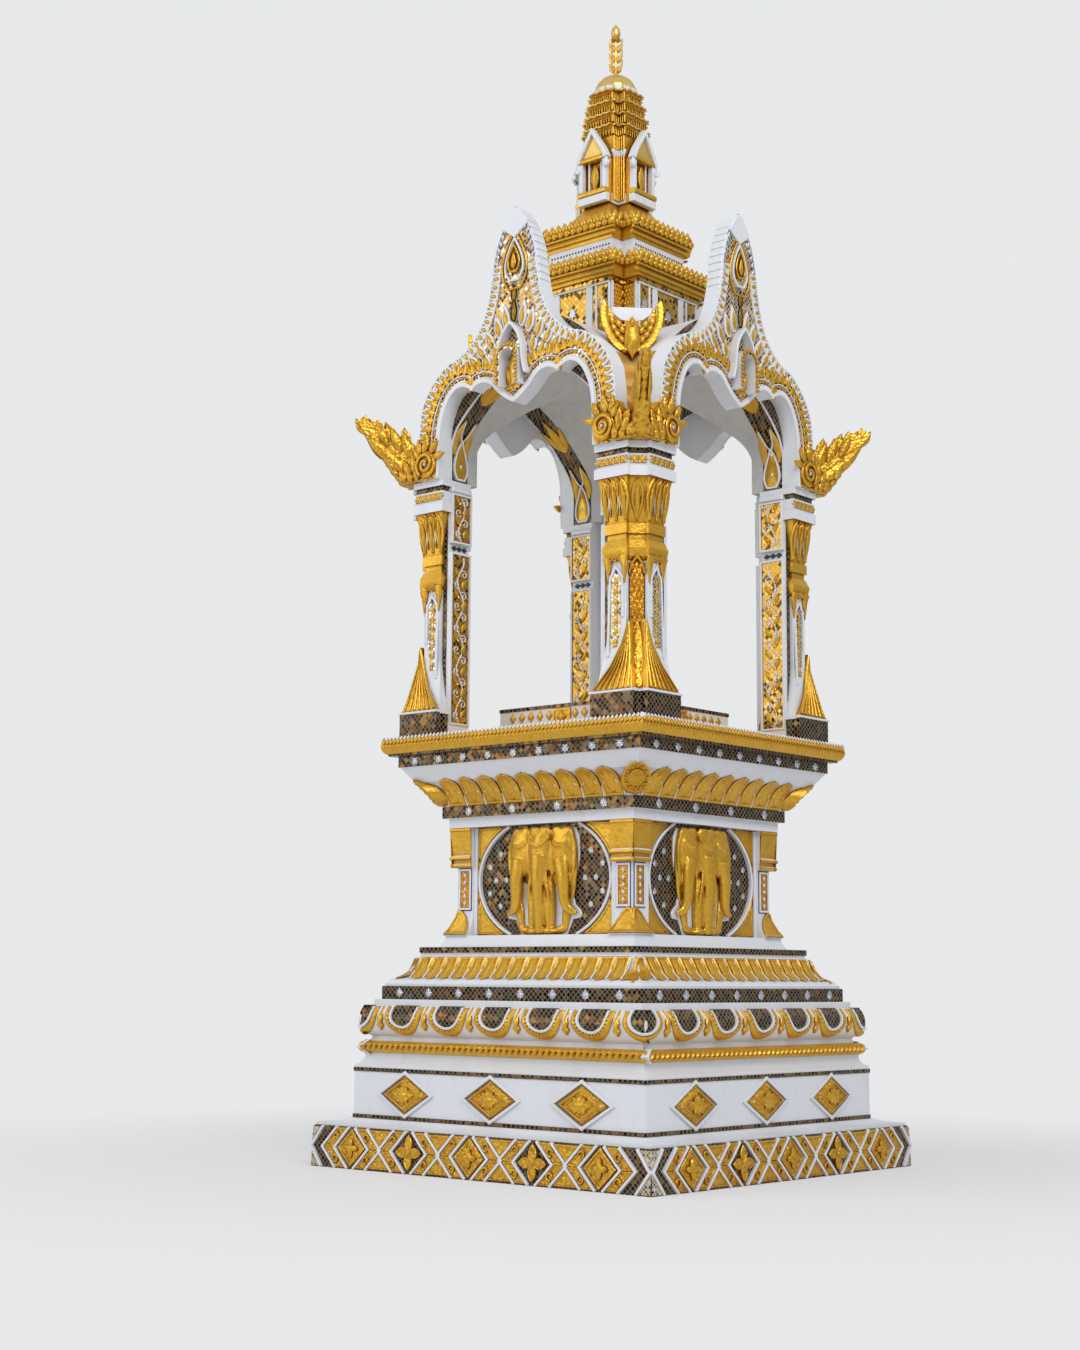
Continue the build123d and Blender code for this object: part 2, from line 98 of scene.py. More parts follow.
class Ground(Protocol):
    """Where flat motif coordinates go in space: across, up and outwards."""

    def spread(self, u: Array, v: Array, w: Array) -> tuple[Array, ...]:
        """Places points before they are turned to their side."""


@dataclass(frozen=True)
class Face:
    """Side of the shrine, plain or moulded."""

    surface: Surface

    def spread(self, u: Array, v: Array, w: Array) -> tuple[Array, ...]:
        """Lays points on the front side."""
        return u, -(self.surface(v) + w), v


@dataclass(frozen=True)
class Folded:
    """Side of the shrine whose work wraps round the corner to the next side."""

    surface: Surface
    corner: Surface

    def spread(self, u: Array, v: Array, w: Array) -> tuple[Array, ...]:
        """Lays points on the front side, and those beyond its corner on the next."""
        out, fold = self.surface(v) + w, self.corner(v)
        beyond = np.abs(u) > fold
        return np.where(beyond, np.sign(u) * out, u), np.where(beyond, np.abs(u) - 2 * fold, -out), v


class Fin:
    """Upright plane through the axis, on which across is the distance from the axis."""

    def spread(self, u: Array, v: Array, w: Array) -> tuple[Array, ...]:
        """Lays points on the plane."""
        return w, -u, v


@dataclass(frozen=True)
class Jamb:
    """Inner side of an arched opening, from the jamb up over the arch."""

    surface: Surface
    middle: float = 379.5

    def spread(self, u: Array, v: Array, w: Array) -> tuple[Array, ...]:
        """Lays points on the right-hand jamb of the front opening."""
        return self.surface(v) - w, -(self.middle + u), v


def wall(half: float) -> Face:
    """Plain side at a half width."""
    return Face(flat(half))


@dataclass(frozen=True)
class Spot:
    """Where a motif goes: across, up, scaled, tilted and raised."""

    across: float = 0.0
    height: float = 0.0
    wide: float = 1.0
    high: float = 1.0
    tilt: float = 0.0
    proud: float = 0.0

    def place(self, points: Array) -> Array:
        """Moves motif points to this spot."""
        turn = math.radians(self.tilt)
        u, v = points[:, 0] * self.wide, points[:, 1] * self.high
        return np.stack([self.across + u * math.cos(turn) - v * math.sin(turn),
                         self.height + u * math.sin(turn) + v * math.cos(turn), self.proud + points[:, 2]], axis=1)


def row(count: int, pitch: float, height: float, middle: float = 0.0, **more: float) -> list[Spot]:
    """Even row of spots, from left to right, with other values of each Spot in more."""
    first = middle - 0.5 * (count - 1) * pitch
    return [Spot(first + k * pitch, height, **more) for k in range(count)]


def stack(heights: Iterable[float], across: float = 0.0) -> list[Spot]:
    """Spots one above another."""
    return [Spot(across, float(height)) for height in heights]


def pair(spots: Sequence[Spot]) -> list[Spot]:
    """The spots and their mirror images across the middle of the face."""
    return list(spots) + [Spot(-s.across, s.height, -s.wide, s.high, -s.tilt, s.proud) for s in spots]


ONCE = [Spot()]
BOTH = pair(ONCE)


def route(start: Point, *steps: tuple[Point, float], points: int = 8) -> list[Point]:
    """Points along arcs that bulge to the right of the way they run.

    Args:
        start: first point.
        steps: end of each arc, with its height as a share of its chord.
        points: how many points each arc gets.

    Returns:
        The points in order.
    """
    path = [start]
    for end, bulge in steps:
        x, y = path[-1]
        across, up = end[0] - x, end[1] - y
        for k in range(1, points + 1):
            t = k / points
            swell = 4 * t * (1 - t) * bulge
            path.append((x + across * t + swell * up, y + up * t - swell * across))
    return path


def parallel(path: Sequence[Point], offset: float) -> list[Point]:
    """Path that runs beside another, on its left."""
    points = np.array(path, float)
    slopes = np.gradient(points, axis=0)
    slopes /= np.maximum(np.hypot(slopes[:, 0], slopes[:, 1]), 1e-6)[:, None]
    return [(x - offset * dy, y + offset * dx) for (x, y), (dx, dy) in zip(points, slopes)]


def along(path: Sequence[Point], pitch: float, start: float = 0.0, end: float = 0.0,
          lean: float = 0.0) -> list[Spot]:
    """Spots at even distances along a path, each turned to stand on it.

    Args:
        path: points of the path.
        pitch: distance between spots.
        start: distance of the first spot from the path's start.
        end: how much of the path's end stays free.
        lean: extra tilt in degrees.

    Returns:
        The spots in order.
    """
    points = np.array(path, float)
    steps = np.diff(points, axis=0)
    lengths = np.hypot(steps[:, 0], steps[:, 1])
    marks = np.concatenate([[0.0], np.cumsum(lengths)])
    spots = []
    for at in np.arange(start, marks[-1] - end, pitch):
        k = min(int(np.searchsorted(marks, at, side="right")) - 1, len(steps) - 1)
        x, y = points[k] + steps[k] * (at - marks[k]) / lengths[k]
        spots.append(Spot(float(x), float(y), tilt=math.degrees(math.atan2(steps[k][1], steps[k][0])) + lean))
    return spots


# Outlines


def closed(half: Sequence[Point], *middle: Point) -> list[Point]:
    """Symmetric outline made of its one half and the points on its middle."""
    return [*half, *middle, *((-x, y) for x, y in reversed(half))]


def leaf(width: float, height: float, belly: float = 0.75, tip: float = 0.9, points: int = 6) -> list[Point]:
    """Pointed leaf that stands on its base.

    Args:
        width: greatest width.
        height: height to the tip.
        belly: under 1 puts the widest place low, over 1 puts it high.
        tip: under 1 makes the tip blunt, over 1 sharp.
        points: points on each side.

    Returns:
        The outline, anticlockwise from the base.
    """
    side = []
    for k in range(points):
        t = 0.04 + 0.96 * k / points
        side.append((0.5 * width * math.sin(math.pi * t ** belly) ** tip, height * t if k else 0.0))
    return closed(side, (0.0, height))


def petal(width: float, height: float, points: int = 5) -> list[Point]:
    """Broad petal with straight sides and a pointed arch for its head."""
    side = [(0.5 * width, 0.0), (0.52 * width, 0.3 * height)]
    side += [(0.5 * width * math.cos(0.5 * math.pi * t) ** 0.5, height * (0.3 + 0.7 * t))
             for t in np.linspace(0.25, 0.92, points)]
    return closed(side, (0.0, height))


def rhomb(width: float, height: float) -> list[Point]:
    """Upright rhombus about its centre."""
    return [(0.5 * width, 0), (0, 0.5 * height), (-0.5 * width, 0), (0, -0.5 * height)]


def flower(radius: float, depth: float = 0.35, petals: int = 4, points: int = 24) -> list[Point]:
    """Round flower with lobed petals.

    Args:
        radius: largest radius.
        depth: share of the radius that the cuts between petals take.
        petals: how many petals.
        points: points of the outline.

    Returns:
        The outline.
    """
    outline = []
    for k in range(points):
        angle = 2 * math.pi * k / points
        r = radius * (1 - depth * 0.5 * (1 - math.cos(petals * angle)))
        outline.append((r * math.cos(angle), r * math.sin(angle)))
    return outline


def box(width: float, low: float, high: float, middle: float = 0.0) -> list[Point]:
    """Upright rectangle between two heights."""
    w = 0.5 * width
    return [(middle - w, low), (middle + w, low), (middle + w, high), (middle - w, high)]


def arc(centre: Point, wide: float, high: float, start: float, end: float, points: int = 12) -> list[Point]:
    """Points along part of an ellipse.

    Args:
        centre: its centre.
        wide: semi-axis across.
        high: semi-axis up.
        start: first angle in degrees.
        end: last angle in degrees.
        points: how many points.

    Returns:
        The points.
    """
    return [(centre[0] + wide * math.cos(math.radians(a)), centre[1] + high * math.sin(math.radians(a)))
            for a in np.linspace(start, end, points)]


def spiral(radius: float, turns: float = 1.4, start: float = 0.0, points: int = 16) -> list[Point]:
    """Curl that winds inwards about its centre."""
    return [(radius * (1 - 0.8 * t) * math.cos(2 * math.pi * turns * t + math.radians(start)),
             radius * (1 - 0.8 * t) * math.sin(2 * math.pi * turns * t + math.radians(start)))
            for t in np.linspace(0, 1, points)]


# Finishes


class Sheet:
    """Node tree of a material or a world, built node by node."""

    def __init__(self, owner: bpy.types.Material | bpy.types.World) -> None:
        """Starts an empty tree."""
        owner.use_nodes = True
        self.tree = owner.node_tree
        self.tree.nodes.clear()
        self.texture = self.add("TexCoord").outputs
        self.place, self.facing = self.texture["Object"], self.texture["Normal"]

    def add(self, kind: str, **given: object) -> bpy.types.Node:
        """Adds a node.

        Args:
            kind: the node's type without its ShaderNode prefix.
            given: properties in lower case, and values or sockets of inputs, by input name
                with underscores for spaces, or by i and the input's number.

        Returns:
            The node.
        """
        node = self.tree.nodes.new("ShaderNode" + kind)
        for key, value in given.items():
            number = key[1:].isdigit()
            if key[0].islower() and not number:
                setattr(node, key, value)
                continue
            socket = node.inputs[int(key[1:]) if number else key.replace("_", " ")]
            if isinstance(value, Socket):
                self.tree.links.new(value, socket)
            else:
                socket.default_value = value
        return node

    def math(self, operation: str, *values: Socket | float, clamp: bool = False) -> Socket:
        """Result of one sum or comparison."""
        given = {f"i{k}": value for k, value in enumerate(values)}
        return self.add("Math", operation=operation, use_clamp=clamp, **given).outputs[0]

    def vector(self, operation: str, *values: Socket | Sequence[float]) -> Socket:
        """Result of one sum of vectors."""
        given = {f"i{k}": value for k, value in enumerate(values)}
        return self.add("VectorMath", operation=operation, **given).outputs[0]

    def above(self, value: Socket, limit: float) -> Socket:
        """1 where the value is over a limit, otherwise 0."""
        return self.math("GREATER_THAN", value, limit)

    def weigh(self, *terms: tuple[Socket, float]) -> Socket:
        """Weighted sum of values, kept between 0 and 1."""
        total = 0.0
        for value, share in terms:
            total = self.math("MULTIPLY_ADD", value, share, total, clamp=True)
        return total

    def blend(self, share: Socket, a: Socket | Colour, b: Socket | Colour) -> Socket:
        """Mix of two colours."""
        colours = {f"i{k}": c if isinstance(c, Socket) else (*c, 1.0) for k, c in ((6, a), (7, b))}
        return self.add("Mix", data_type="RGBA", i0=share, **colours).outputs[2]

    def colours(self, value: Socket, stops: Sequence[tuple[float, Colour]], mode: str = "LINEAR") -> Socket:
        """Colour that a value picks from stops."""
        node = self.add("ValToRGB", Fac=value)
        elements = node.color_ramp.elements
        while len(elements) < len(stops):
            elements.new(0.5)
        for k, (position, colour) in enumerate(stops):
            elements[k].position, elements[k].color = position, (*colour, 1.0)
        node.color_ramp.interpolation = mode
        return node.outputs[0]

    def noise(self, scale: float, detail: float = 3.0, where: Socket | None = None) -> Socket:
        """Cloudy value between 0 and 1 over the piece."""
        return self.add("TexNoise", Vector=where or self.place, Scale=scale, Detail=detail).outputs[0]

    def hollow(self, samples: int, distance: float) -> Socket:
        """How open a place is: 0 deep in a hollow, 1 in the open."""
        return self.add("AmbientOcclusion", samples=samples, Distance=distance).outputs["AO"]

    def ramp(self, value: Socket, low: float, high: float) -> Socket:
        """Value stretched so that low gives 0 and high gives 1."""
        return self.add("MapRange", clamp=True, Value=value, From_Min=low, From_Max=high).outputs[0]

    def split(self, vector: Socket) -> list[Socket]:
        """The three parts of a vector."""
        return list(self.add("SeparateXYZ", Vector=vector).outputs)

    def bump(self, height: Socket, strength: float, distance: float, **normal: Socket) -> Socket:
        """Normal tilted by a height."""
        return self.add("Bump", Strength=strength, Distance=distance, Height=height, **normal).outputs[0]

    def skin(self, colour: Socket, roughness: Socket | float, **more: Socket | float) -> Socket:
        """Painted, metal or glass surface."""
        return self.add("BsdfPrincipled", Base_Color=colour, Roughness=roughness, **more).outputs[0]

    def either(self, share: Socket, low: Socket, high: Socket) -> Socket:
        """One surface where the share is 0 and another where it is 1."""
        return self.add("MixShader", i0=share, i1=low, i2=high).outputs[0]


@dataclass(frozen=True)
class Finish:
    """A finish that can be laid on a sheet, alone or beside others."""

    name: str
    slot: Slot = field(default=Slot.MOSAIC, kw_only=True)

    def lay(self, sheet: Sheet) -> Socket:
        """Adds its nodes and gives its surface."""
        raise NotImplementedError(self.name)


@cache
def painted(finish: Finish) -> bpy.types.Material:
    """The finish's material, built once."""
    material = bpy.data.materials.new(finish.name)
    sheet = Sheet(material)
    sheet.add("OutputMaterial", Surface=finish.lay(sheet))
    return material


@dataclass(frozen=True)
class WhitePaint(Finish):
    """Gloss white paint on cast concrete, a little worn and streaked, with painted shade darkening its corners."""

    colour: Colour = (0.77, 0.79, 0.83)
    dirt_and_corner_shade: Colour = (0.50, 0.49, 0.45)
    roughness: float = 0.34

    def lay(self, sheet: Sheet) -> Socket:
        """Adds its nodes and gives its surface."""
        streaks = sheet.add("Mapping", Vector=sheet.place, Scale=(9.0, 9.0, 1.6)).outputs[0]
        grime = sheet.ramp(sheet.noise(2.2, 6.0, streaks), 0.54, 0.86)
        speck = sheet.ramp(sheet.noise(70.0, 2.0), 0.66, 0.78)
        # painted shade: corners and creases found by ambient occlusion are darkened towards the darker colour, beside
        # the real streaks and specks
        corner = sheet.ramp(sheet.hollow(4, 0.03), 0.9, 0.4)
        colour = sheet.blend(sheet.weigh((grime, 0.22), (speck, 0.10), (corner, 0.35)), self.colour, self.dirt_and_corner_shade)
        rough = sheet.math("MULTIPLY_ADD", grime, 0.22, self.roughness)
        return sheet.skin(colour, rough, Normal=sheet.bump(sheet.noise(45.0, 4.0), 0.06, 0.002))


@dataclass(frozen=True)
class GoldPaint(Finish):
    """Bright gold paint over carving, with painted shade, darker and redder, in its hollows and between the bumped
    cells of its carving.
    """

    light: Colour = (0.80, 0.46, 0.045)
    # darker, redder colour of the painted shade, and of the random darker patches
    deep: Colour = (0.30, 0.105, 0.006)
    roughness: float = 0.30
    carve: float = 0.25
    scale: float = 110.0
    metal: float = 0.72
    slot: Slot = field(default=Slot.GOLD, kw_only=True)

    def lay(self, sheet: Sheet) -> Socket:
        """Adds its nodes and gives its surface."""
        # painted shade: hollows found by ambient occlusion, and the bumped hollows between carving cells, are darkened
        # towards the deep colour; the noise patches are random tone
        depth = sheet.ramp(sheet.hollow(6, 0.014), 0.97, 0.4)
        cells = sheet.add("TexVoronoi", feature="SMOOTH_F1", Vector=sheet.place, Scale=self.scale)
        relief = cells.outputs["Distance"]
        cut, patch = sheet.ramp(relief, 0.35, 0.75), sheet.ramp(sheet.noise(14.0), 0.35, 0.75)
        shade_and_tone = sheet.weigh((depth, 0.85), (patch, 0.18), (cut, 0.7 * self.carve))
        normal = sheet.bump(sheet.math("SUBTRACT", 1.0, relief), self.carve, 0.004)
        normal = sheet.bump(sheet.noise(60.0), 0.12, 0.002, Normal=normal)
        rough = sheet.math("MULTIPLY_ADD", patch, 0.15, self.roughness)
        return sheet.skin(sheet.blend(shade_and_tone, self.light, self.deep), rough, Metallic=self.metal, Normal=normal)


@dataclass(frozen=True)
class MirrorMosaic(Finish):
    """Small square mirror tiles set on their points between pale joints. The darker tints are painted reflections of
    dark surroundings in the glass.
    """

    # tile colours: the glass's own tint, with the dark ones as painted reflections of dark surroundings
    tints_and_reflections: tuple[Colour, ...]
    tile: float
    joint: Colour
    width: float
    glint: float = 0.16

    def lay(self, sheet: Sheet) -> Socket:
        """Adds its nodes and gives its surface."""
        x, y, z = sheet.split(sheet.place)
        level = sheet.math("ADD", x, y)
        slants = [sheet.math("DIVIDE", sheet.math(turn, level, z), self.tile * ROOT) for turn in ("ADD", "SUBTRACT")]
        floors = [sheet.math("FLOOR", slant) for slant in slants]
        cell = sheet.add("CombineXYZ", X=floors[0], Y=floors[1]).outputs[0]
        chance = sheet.add("TexWhiteNoise", noise_dimensions="2D", Vector=cell).outputs
        edges = [sheet.math("ABSOLUTE", sheet.math("SUBTRACT", sheet.math("FRACT", slant), 0.5)) for slant in slants]
        gap = sheet.above(sheet.math("MAXIMUM", *edges), 0.5 - self.width)
        stops = [(k / len(self.tints_and_reflections), tint) for k, tint in enumerate(self.tints_and_reflections)]
        colour = sheet.blend(gap, sheet.colours(chance["Value"], stops, "CONSTANT"), self.joint)
        tilt = sheet.vector("SUBTRACT", chance["Color"], (0.5, 0.5, 0.5))
        tilt = sheet.vector("MULTIPLY", tilt, (self.glint,) * 3)
        normal = sheet.vector("ADD", sheet.add("NewGeometry").outputs["Normal"], tilt)
        return sheet.skin(colour, sheet.math("MULTIPLY_ADD", gap, 0.6, 0.10),
                          Metallic=sheet.math("SUBTRACT", 1.0, gap), Normal=sheet.vector("NORMALIZE", normal))


@dataclass(frozen=True)
class CastStone(Finish):
    """Plain painted surface with a little grain, for ceilings and glass, and for strips of painted shadow."""

    colour: Colour
    roughness: float

    def lay(self, sheet: Sheet) -> Socket:
        """Adds its nodes and gives its surface."""
        darker = tuple(0.86 * c for c in self.colour)
        return sheet.skin(sheet.blend(sheet.ramp(sheet.noise(30.0, 5.0), 0.4, 0.8), self.colour, darker),
                          self.roughness)


@dataclass(frozen=True)
class StudioFloor(Finish):
    """Pale floor that takes a soft shadow near the shrine and meets the backdrop without a line."""

    glow: float = 0.805
    near: float = 0.35
    fade_from: float = 0.9
    fade_to: float = 3.2

    def lay(self, sheet: Sheet) -> Socket:
        """Adds its nodes and gives its surface."""
        paint = sheet.add("BsdfDiffuse", Color=(0.80, 0.80, 0.81, 1.0)).outputs[0]
        light = sheet.add("Emission", Color=(self.glow, 1.005 * self.glow, 1.02 * self.glow, 1.0)).outputs[0]
        reach = sheet.add("VectorMath", operation="LENGTH", i0=sheet.place).outputs["Value"]
        share = sheet.add("MapRange", interpolation_type="SMOOTHSTEP", Value=reach, From_Min=self.fade_from,
                          From_Max=self.fade_to, To_Min=self.near, To_Max=1.0).outputs[0]
        seen = sheet.math("MULTIPLY", sheet.add("LightPath").outputs["Is Camera Ray"], share)
        return sheet.either(seen, paint, light)


@dataclass(frozen=True)
class Satin(Finish):
    """Pale gold drapery in soft folds that hang down the roof valleys, with painted shade in the fold troughs and
    painted highlight on their crests.
    """

    light: Colour = (0.86, 0.60, 0.20)
    deep: Colour = (0.62, 0.33, 0.05)

    def lay(self, sheet: Sheet) -> Socket:
        """Adds its nodes and gives its surface."""
        fold = sheet.add("TexWave", bands_direction="Z", Vector=sheet.place, Scale=5.0, Distortion=7.0, Detail=1.0,
                         Detail_Scale=0.6).outputs["Fac"]
        # painted shade and highlight: the colour runs from deep in the troughs to light on the crests of the bumped
        # folds
        return sheet.skin(sheet.blend(fold, self.deep, self.light), 0.32, Metallic=0.35,
                          Normal=sheet.bump(fold, 0.7, 0.012))


@dataclass(frozen=True)
class Stacked(Finish):
    """Finishes one above another on a casting."""

    lowest: Finish
    above: tuple[tuple[float, Finish], ...]

    def lay(self, sheet: Sheet) -> Socket:
        """Adds its nodes and gives its surface."""
        height = sheet.split(sheet.place)[2]
        surface = self.lowest.lay(sheet)
        made: dict[Finish, Socket] = {self.lowest: surface}
        for limit, finish in self.above:
            if finish not in made:
                made[finish] = finish.lay(sheet)
            surface = sheet.either(sheet.above(height, limit * MM), surface, made[finish])
        return surface


@dataclass(frozen=True)
class FrontOnly(Finish):
    """One finish on the faces that look along an axis beyond a distance, another elsewhere."""

    front: Finish
    rest: Finish
    axis: int
    limit: float = 471.0

    def lay(self, sheet: Sheet) -> Socket:
        """Adds its nodes and gives its surface."""
        turned, far = (sheet.math("ABSOLUTE", sheet.split(vector)[self.axis]) for vector in (sheet.facing, sheet.place))
        share = sheet.math("MULTIPLY", sheet.above(turned, 0.7), sheet.above(far, self.limit * MM))
        return sheet.either(share, self.rest.lay(sheet), self.front.lay(sheet))


@dataclass(frozen=True)
class Vaulting(Finish):
    """Roof casting: painted ceiling and tiled arch rims below, white and satin gold above."""

    ceiling: Finish
    rim: Finish
    top: Finish
    valley: Finish
    rim_from: float = 345.0
    valley_to: float = 2335.0

    def lay(self, sheet: Sheet) -> Socket:
        """Adds its nodes and gives its surface."""
        x, y, z = sheet.split(sheet.place)
        far = sheet.math("MAXIMUM", sheet.math("ABSOLUTE", x), sheet.math("ABSOLUTE", y))
        halves = [sheet.either(sheet.above(value, limit * MM), low.lay(sheet), high.lay(sheet))
                  for value, limit, low, high in ((far, self.rim_from, self.ceiling, self.rim),
                                                  (z, self.valley_to, self.valley, self.top))]
        return sheet.either(sheet.above(sheet.split(sheet.facing)[2], 0.02), *halves)


WHITE = WhitePaint("white_paint", slot=Slot.WHITE)
GOLD = GoldPaint("gold_paint")
CARVED = GoldPaint("carved_gold", (0.76, 0.36, 0.025), (0.26, 0.08, 0.004), carve=0.8, scale=150.0)
CHASED = GoldPaint("chased_gold", carve=0.7, scale=120.0)
PALE_GOLD = GoldPaint("pale_gold", (0.80, 0.56, 0.16), (0.50, 0.28, 0.04), 0.32, 0.1)
PEARL = GoldPaint("silver_leaf", (0.66, 0.69, 0.74), (0.30, 0.32, 0.36), 0.2, 0.3, slot=Slot.MOSAIC)
# amber mirror glass, its tiles darkened to near black, brown and green-grey as painted reflections of dark surroundings
AMBER = MirrorMosaic("amber_mosaic", (
    (0.030, 0.015, 0.008), (0.13, 0.055, 0.014), (0.04, 0.04, 0.022), (0.25, 0.125, 0.03), (0.06, 0.028, 0.012),
    (0.11, 0.09, 0.065)), 0.012, (0.24, 0.20, 0.14), 0.07, 0.12)
SILVER = MirrorMosaic("silver_mosaic", (
    (0.50, 0.48, 0.42), (0.55, 0.34, 0.08), (0.12, 0.12, 0.10), (0.64, 0.45, 0.12), (0.72, 0.72, 0.70)),
    0.0085, (0.62, 0.58, 0.50), 0.1)
GABLE_TILES = MirrorMosaic("gable_mosaic", (
    (0.48, 0.25, 0.04), (0.62, 0.40, 0.10), (0.10, 0.045, 0.012), (0.30, 0.14, 0.025), (0.74, 0.68, 0.56)),
    0.011, (0.60, 0.55, 0.44), 0.08)
GOLD_TILES = MirrorMosaic("gold_mosaic", (
    (0.58, 0.33, 0.06), (0.52, 0.29, 0.05), (0.66, 0.42, 0.10), (0.10, 0.05, 0.02), (0.56, 0.32, 0.05)),
    0.012, (0.50, 0.30, 0.06), 0.05, 0.08)
CEILING = CastStone("ceiling_paint", (0.56, 0.56, 0.53), 0.8)
BLUE = CastStone("blue_glass", (0.03, 0.045, 0.16), 0.12)
# dark glass for the band dots and jamb diamonds, and painted shadow in the strips beside the column corners
DARK = CastStone("dark_glass", (0.035, 0.03, 0.025), 0.15)
CASTINGS = {
    AMBER: ("base_band", "lower_mirror_band", "body_wall", "upper_mirror_band"),
    GOLD: ("rope_moulding", "platform_edge", "lower_eave", "upper_eave", "spire_niches", "spire_tiers"),
    CHASED: ("corner_flames", "valley_crests", "block_diamonds"),
    PALE_GOLD: ("dome", "finial"),
    GOLD_TILES: ("drum",),
    Stacked("spire_courses", WHITE, ((2962.0, GOLD),)): ("spire_body",),
    FrontOnly("gable_x", GABLE_TILES, WHITE, 0): ("gable_left", "gable_right"),
    FrontOnly("gable_y", GABLE_TILES, WHITE, 1): ("gable_front", "gable_back"),
    Vaulting("vaulting", CEILING, AMBER, WHITE, Satin("satin_gold")): ("roof_",),
    Stacked("column_courses", AMBER, ((1321.0, WHITE), (1700.0, GOLD), (1936.0, WHITE), (2000.0, AMBER),
                                      (2015.0, WHITE))): ("column_",),
}


# Carving bench


def clear() -> None:
    """Leaves nothing selected."""
    if bpy.context.object and bpy.context.object.mode != "OBJECT":
        bpy.ops.object.mode_set(mode="OBJECT")
    bpy.ops.object.select_all(action="DESELECT")


def edit() -> None:
    """Opens the active object for editing with everything selected."""
    bpy.ops.object.mode_set(mode="EDIT")
    bpy.ops.mesh.select_all(action="SELECT")


def done() -> bpy.types.Object:
    """Closes the edit and gives the object."""
    bpy.ops.object.mode_set(mode="OBJECT")
    return bpy.context.object


def lift_off(piece: bpy.types.Object) -> Mesh:
    """Takes a finished motif off the bench and keeps its mesh."""
    mesh = piece.data
    bpy.data.objects.remove(piece)
    return mesh


def anticlockwise(outline: Sequence[Point]) -> list[Point]:
    """The outline, run so that its inside lies on the left."""
    points = np.array(outline, float)
    after = np.roll(points, -1, axis=0)
    area = float(np.sum(points[:, 0] * after[:, 1] - after[:, 0] * points[:, 1]))
    return list(outline) if area > 0 else list(reversed(outline))


def slab(outline: Sequence[Point], height: float, chamfer: float = 0.0, rim: float = 0.0,
         sink: float = 0.0, crown: float = 0.0) -> Mesh:
    """Raised motif cut to an outline, with a chamfered edge and a sunk or crowned field.

    Args:
        outline: points around the motif.
        height: how far it stands out.
        chamfer: width and depth of the edge's chamfer.
        rim: width of the flat rim.
        sink: how far the field lies below the rim.
        crown: how far the middle of the field rises.

    Returns:
        The motif's mesh.
    """
    clear()
    bpy.ops.mesh.primitive_circle_add(vertices=len(outline), radius=1, fill_type="NGON")
    for vertex, point in zip(bpy.context.object.data.vertices, anticlockwise(outline)):
        vertex.co = (point[0], point[1], -0.5)
    edit()
    bpy.ops.mesh.extrude_region_move(TRANSFORM_OT_translate={"value": (0, 0, height - chamfer + 0.5)})
    for thickness, depth in ((chamfer, chamfer), (rim, 0), (min(sink, 1.2), -sink)):
        if thickness:
            bpy.ops.mesh.inset(thickness=thickness, depth=depth)
    if crown:
        bpy.ops.mesh.poke(offset=crown)
    return lift_off(done())


def rail(path: Sequence[Point], section: Sequence[Point], loop: bool = False) -> Mesh:
    """Moulded strip that follows a path on the face.

    Args:
        path: points of the path.
        section: (side, height) points of its closed cross-section.
        loop: whether the path's end joins its start.

    Returns:
        The strip's mesh.
    """
    points = np.array(list(path) + ([path[0]] if loop else []), float)
    steps = np.diff(points, axis=0)
    steps /= np.maximum(np.hypot(steps[:, 0], steps[:, 1]), 1e-6)[:, None]
    before = np.vstack([steps[-1] if loop else steps[0], steps])
    after = np.vstack([steps, steps[0] if loop else steps[-1]])
    ring = list(section) + [section[0]]
    clear()
    bpy.ops.mesh.primitive_grid_add(x_subdivisions=len(ring) - 1, y_subdivisions=len(points) - 1, size=1)
    vertices = iter(bpy.context.object.data.vertices)
    for point, a, b in zip(points, before, after):
        total = np.array([-a[1] - b[1], a[0] + b[0]])
        normal = total / max(0.5 * float(total @ total), 0.7)
        for side, height in ring:
            next(vertices).co = (point[0] + normal[0] * side, point[1] + normal[1] * side, height)
    edit()
    bpy.ops.mesh.remove_doubles(threshold=0.01)
    if not loop:
        bpy.ops.mesh.fill_holes(sides=0)
    return lift_off(done())


def band(width: float, height: float, crown: float = 0.0) -> list[Point]:
    """Cross-section of a flat or crowned strip."""
    w = 0.5 * width
    top = [(0.5 * w, height + 0.8 * crown), (0, height + crown), (-0.5 * w, height + 0.8 * crown)] if crown else []
    return [(w, -1), (w, height), *top, (-w, height), (-w, -1)]


def level(half: float, height: float, width: float, out: float, crown: float = 0.0) -> Mesh:
    """Straight strip across the middle of a face."""
    return rail([(-half, height), (half, height)], band(width, out, crown))


def upright(across: float, low: float, high: float, width: float, out: float, crown: float = 0.0) -> Mesh:
    """Straight strip up a face."""
    return rail([(across, low), (across, high)], band(width, out, crown))


def ball(wide: float, high: float, deep: float, segments: int = 8, rings: int = 5) -> Mesh:
    """Bead pressed into the face, half sunk."""
    clear()
    bpy.ops.mesh.primitive_uv_sphere_add(segments=segments, ring_count=rings, radius=1)
    edit()
    bpy.ops.transform.resize(value=(wide, high, deep))
    return lift_off(done())


def joined(*parts: Mesh) -> Mesh:
    """One motif made of several."""
    clear()
    pieces = [bpy.data.objects.new("part", mesh) for mesh in parts]
    for piece in pieces:
        bpy.context.scene.collection.objects.link(piece)
        piece.select_set(True)
    bpy.context.view_layer.objects.active = pieces[0]
    bpy.ops.object.join()
    return lift_off(bpy.context.object)


def moved(mesh: Mesh, across: float = 0.0, up: float = 0.0, tilt: float = 0.0) -> Mesh:
    """Copy of a motif moved and tilted on the face."""
    copy = mesh.copy()
    copy.transform(Matrix.Translation((across, up, 0)) @ Matrix.Rotation(math.radians(tilt), 4, "Z"))
    return copy


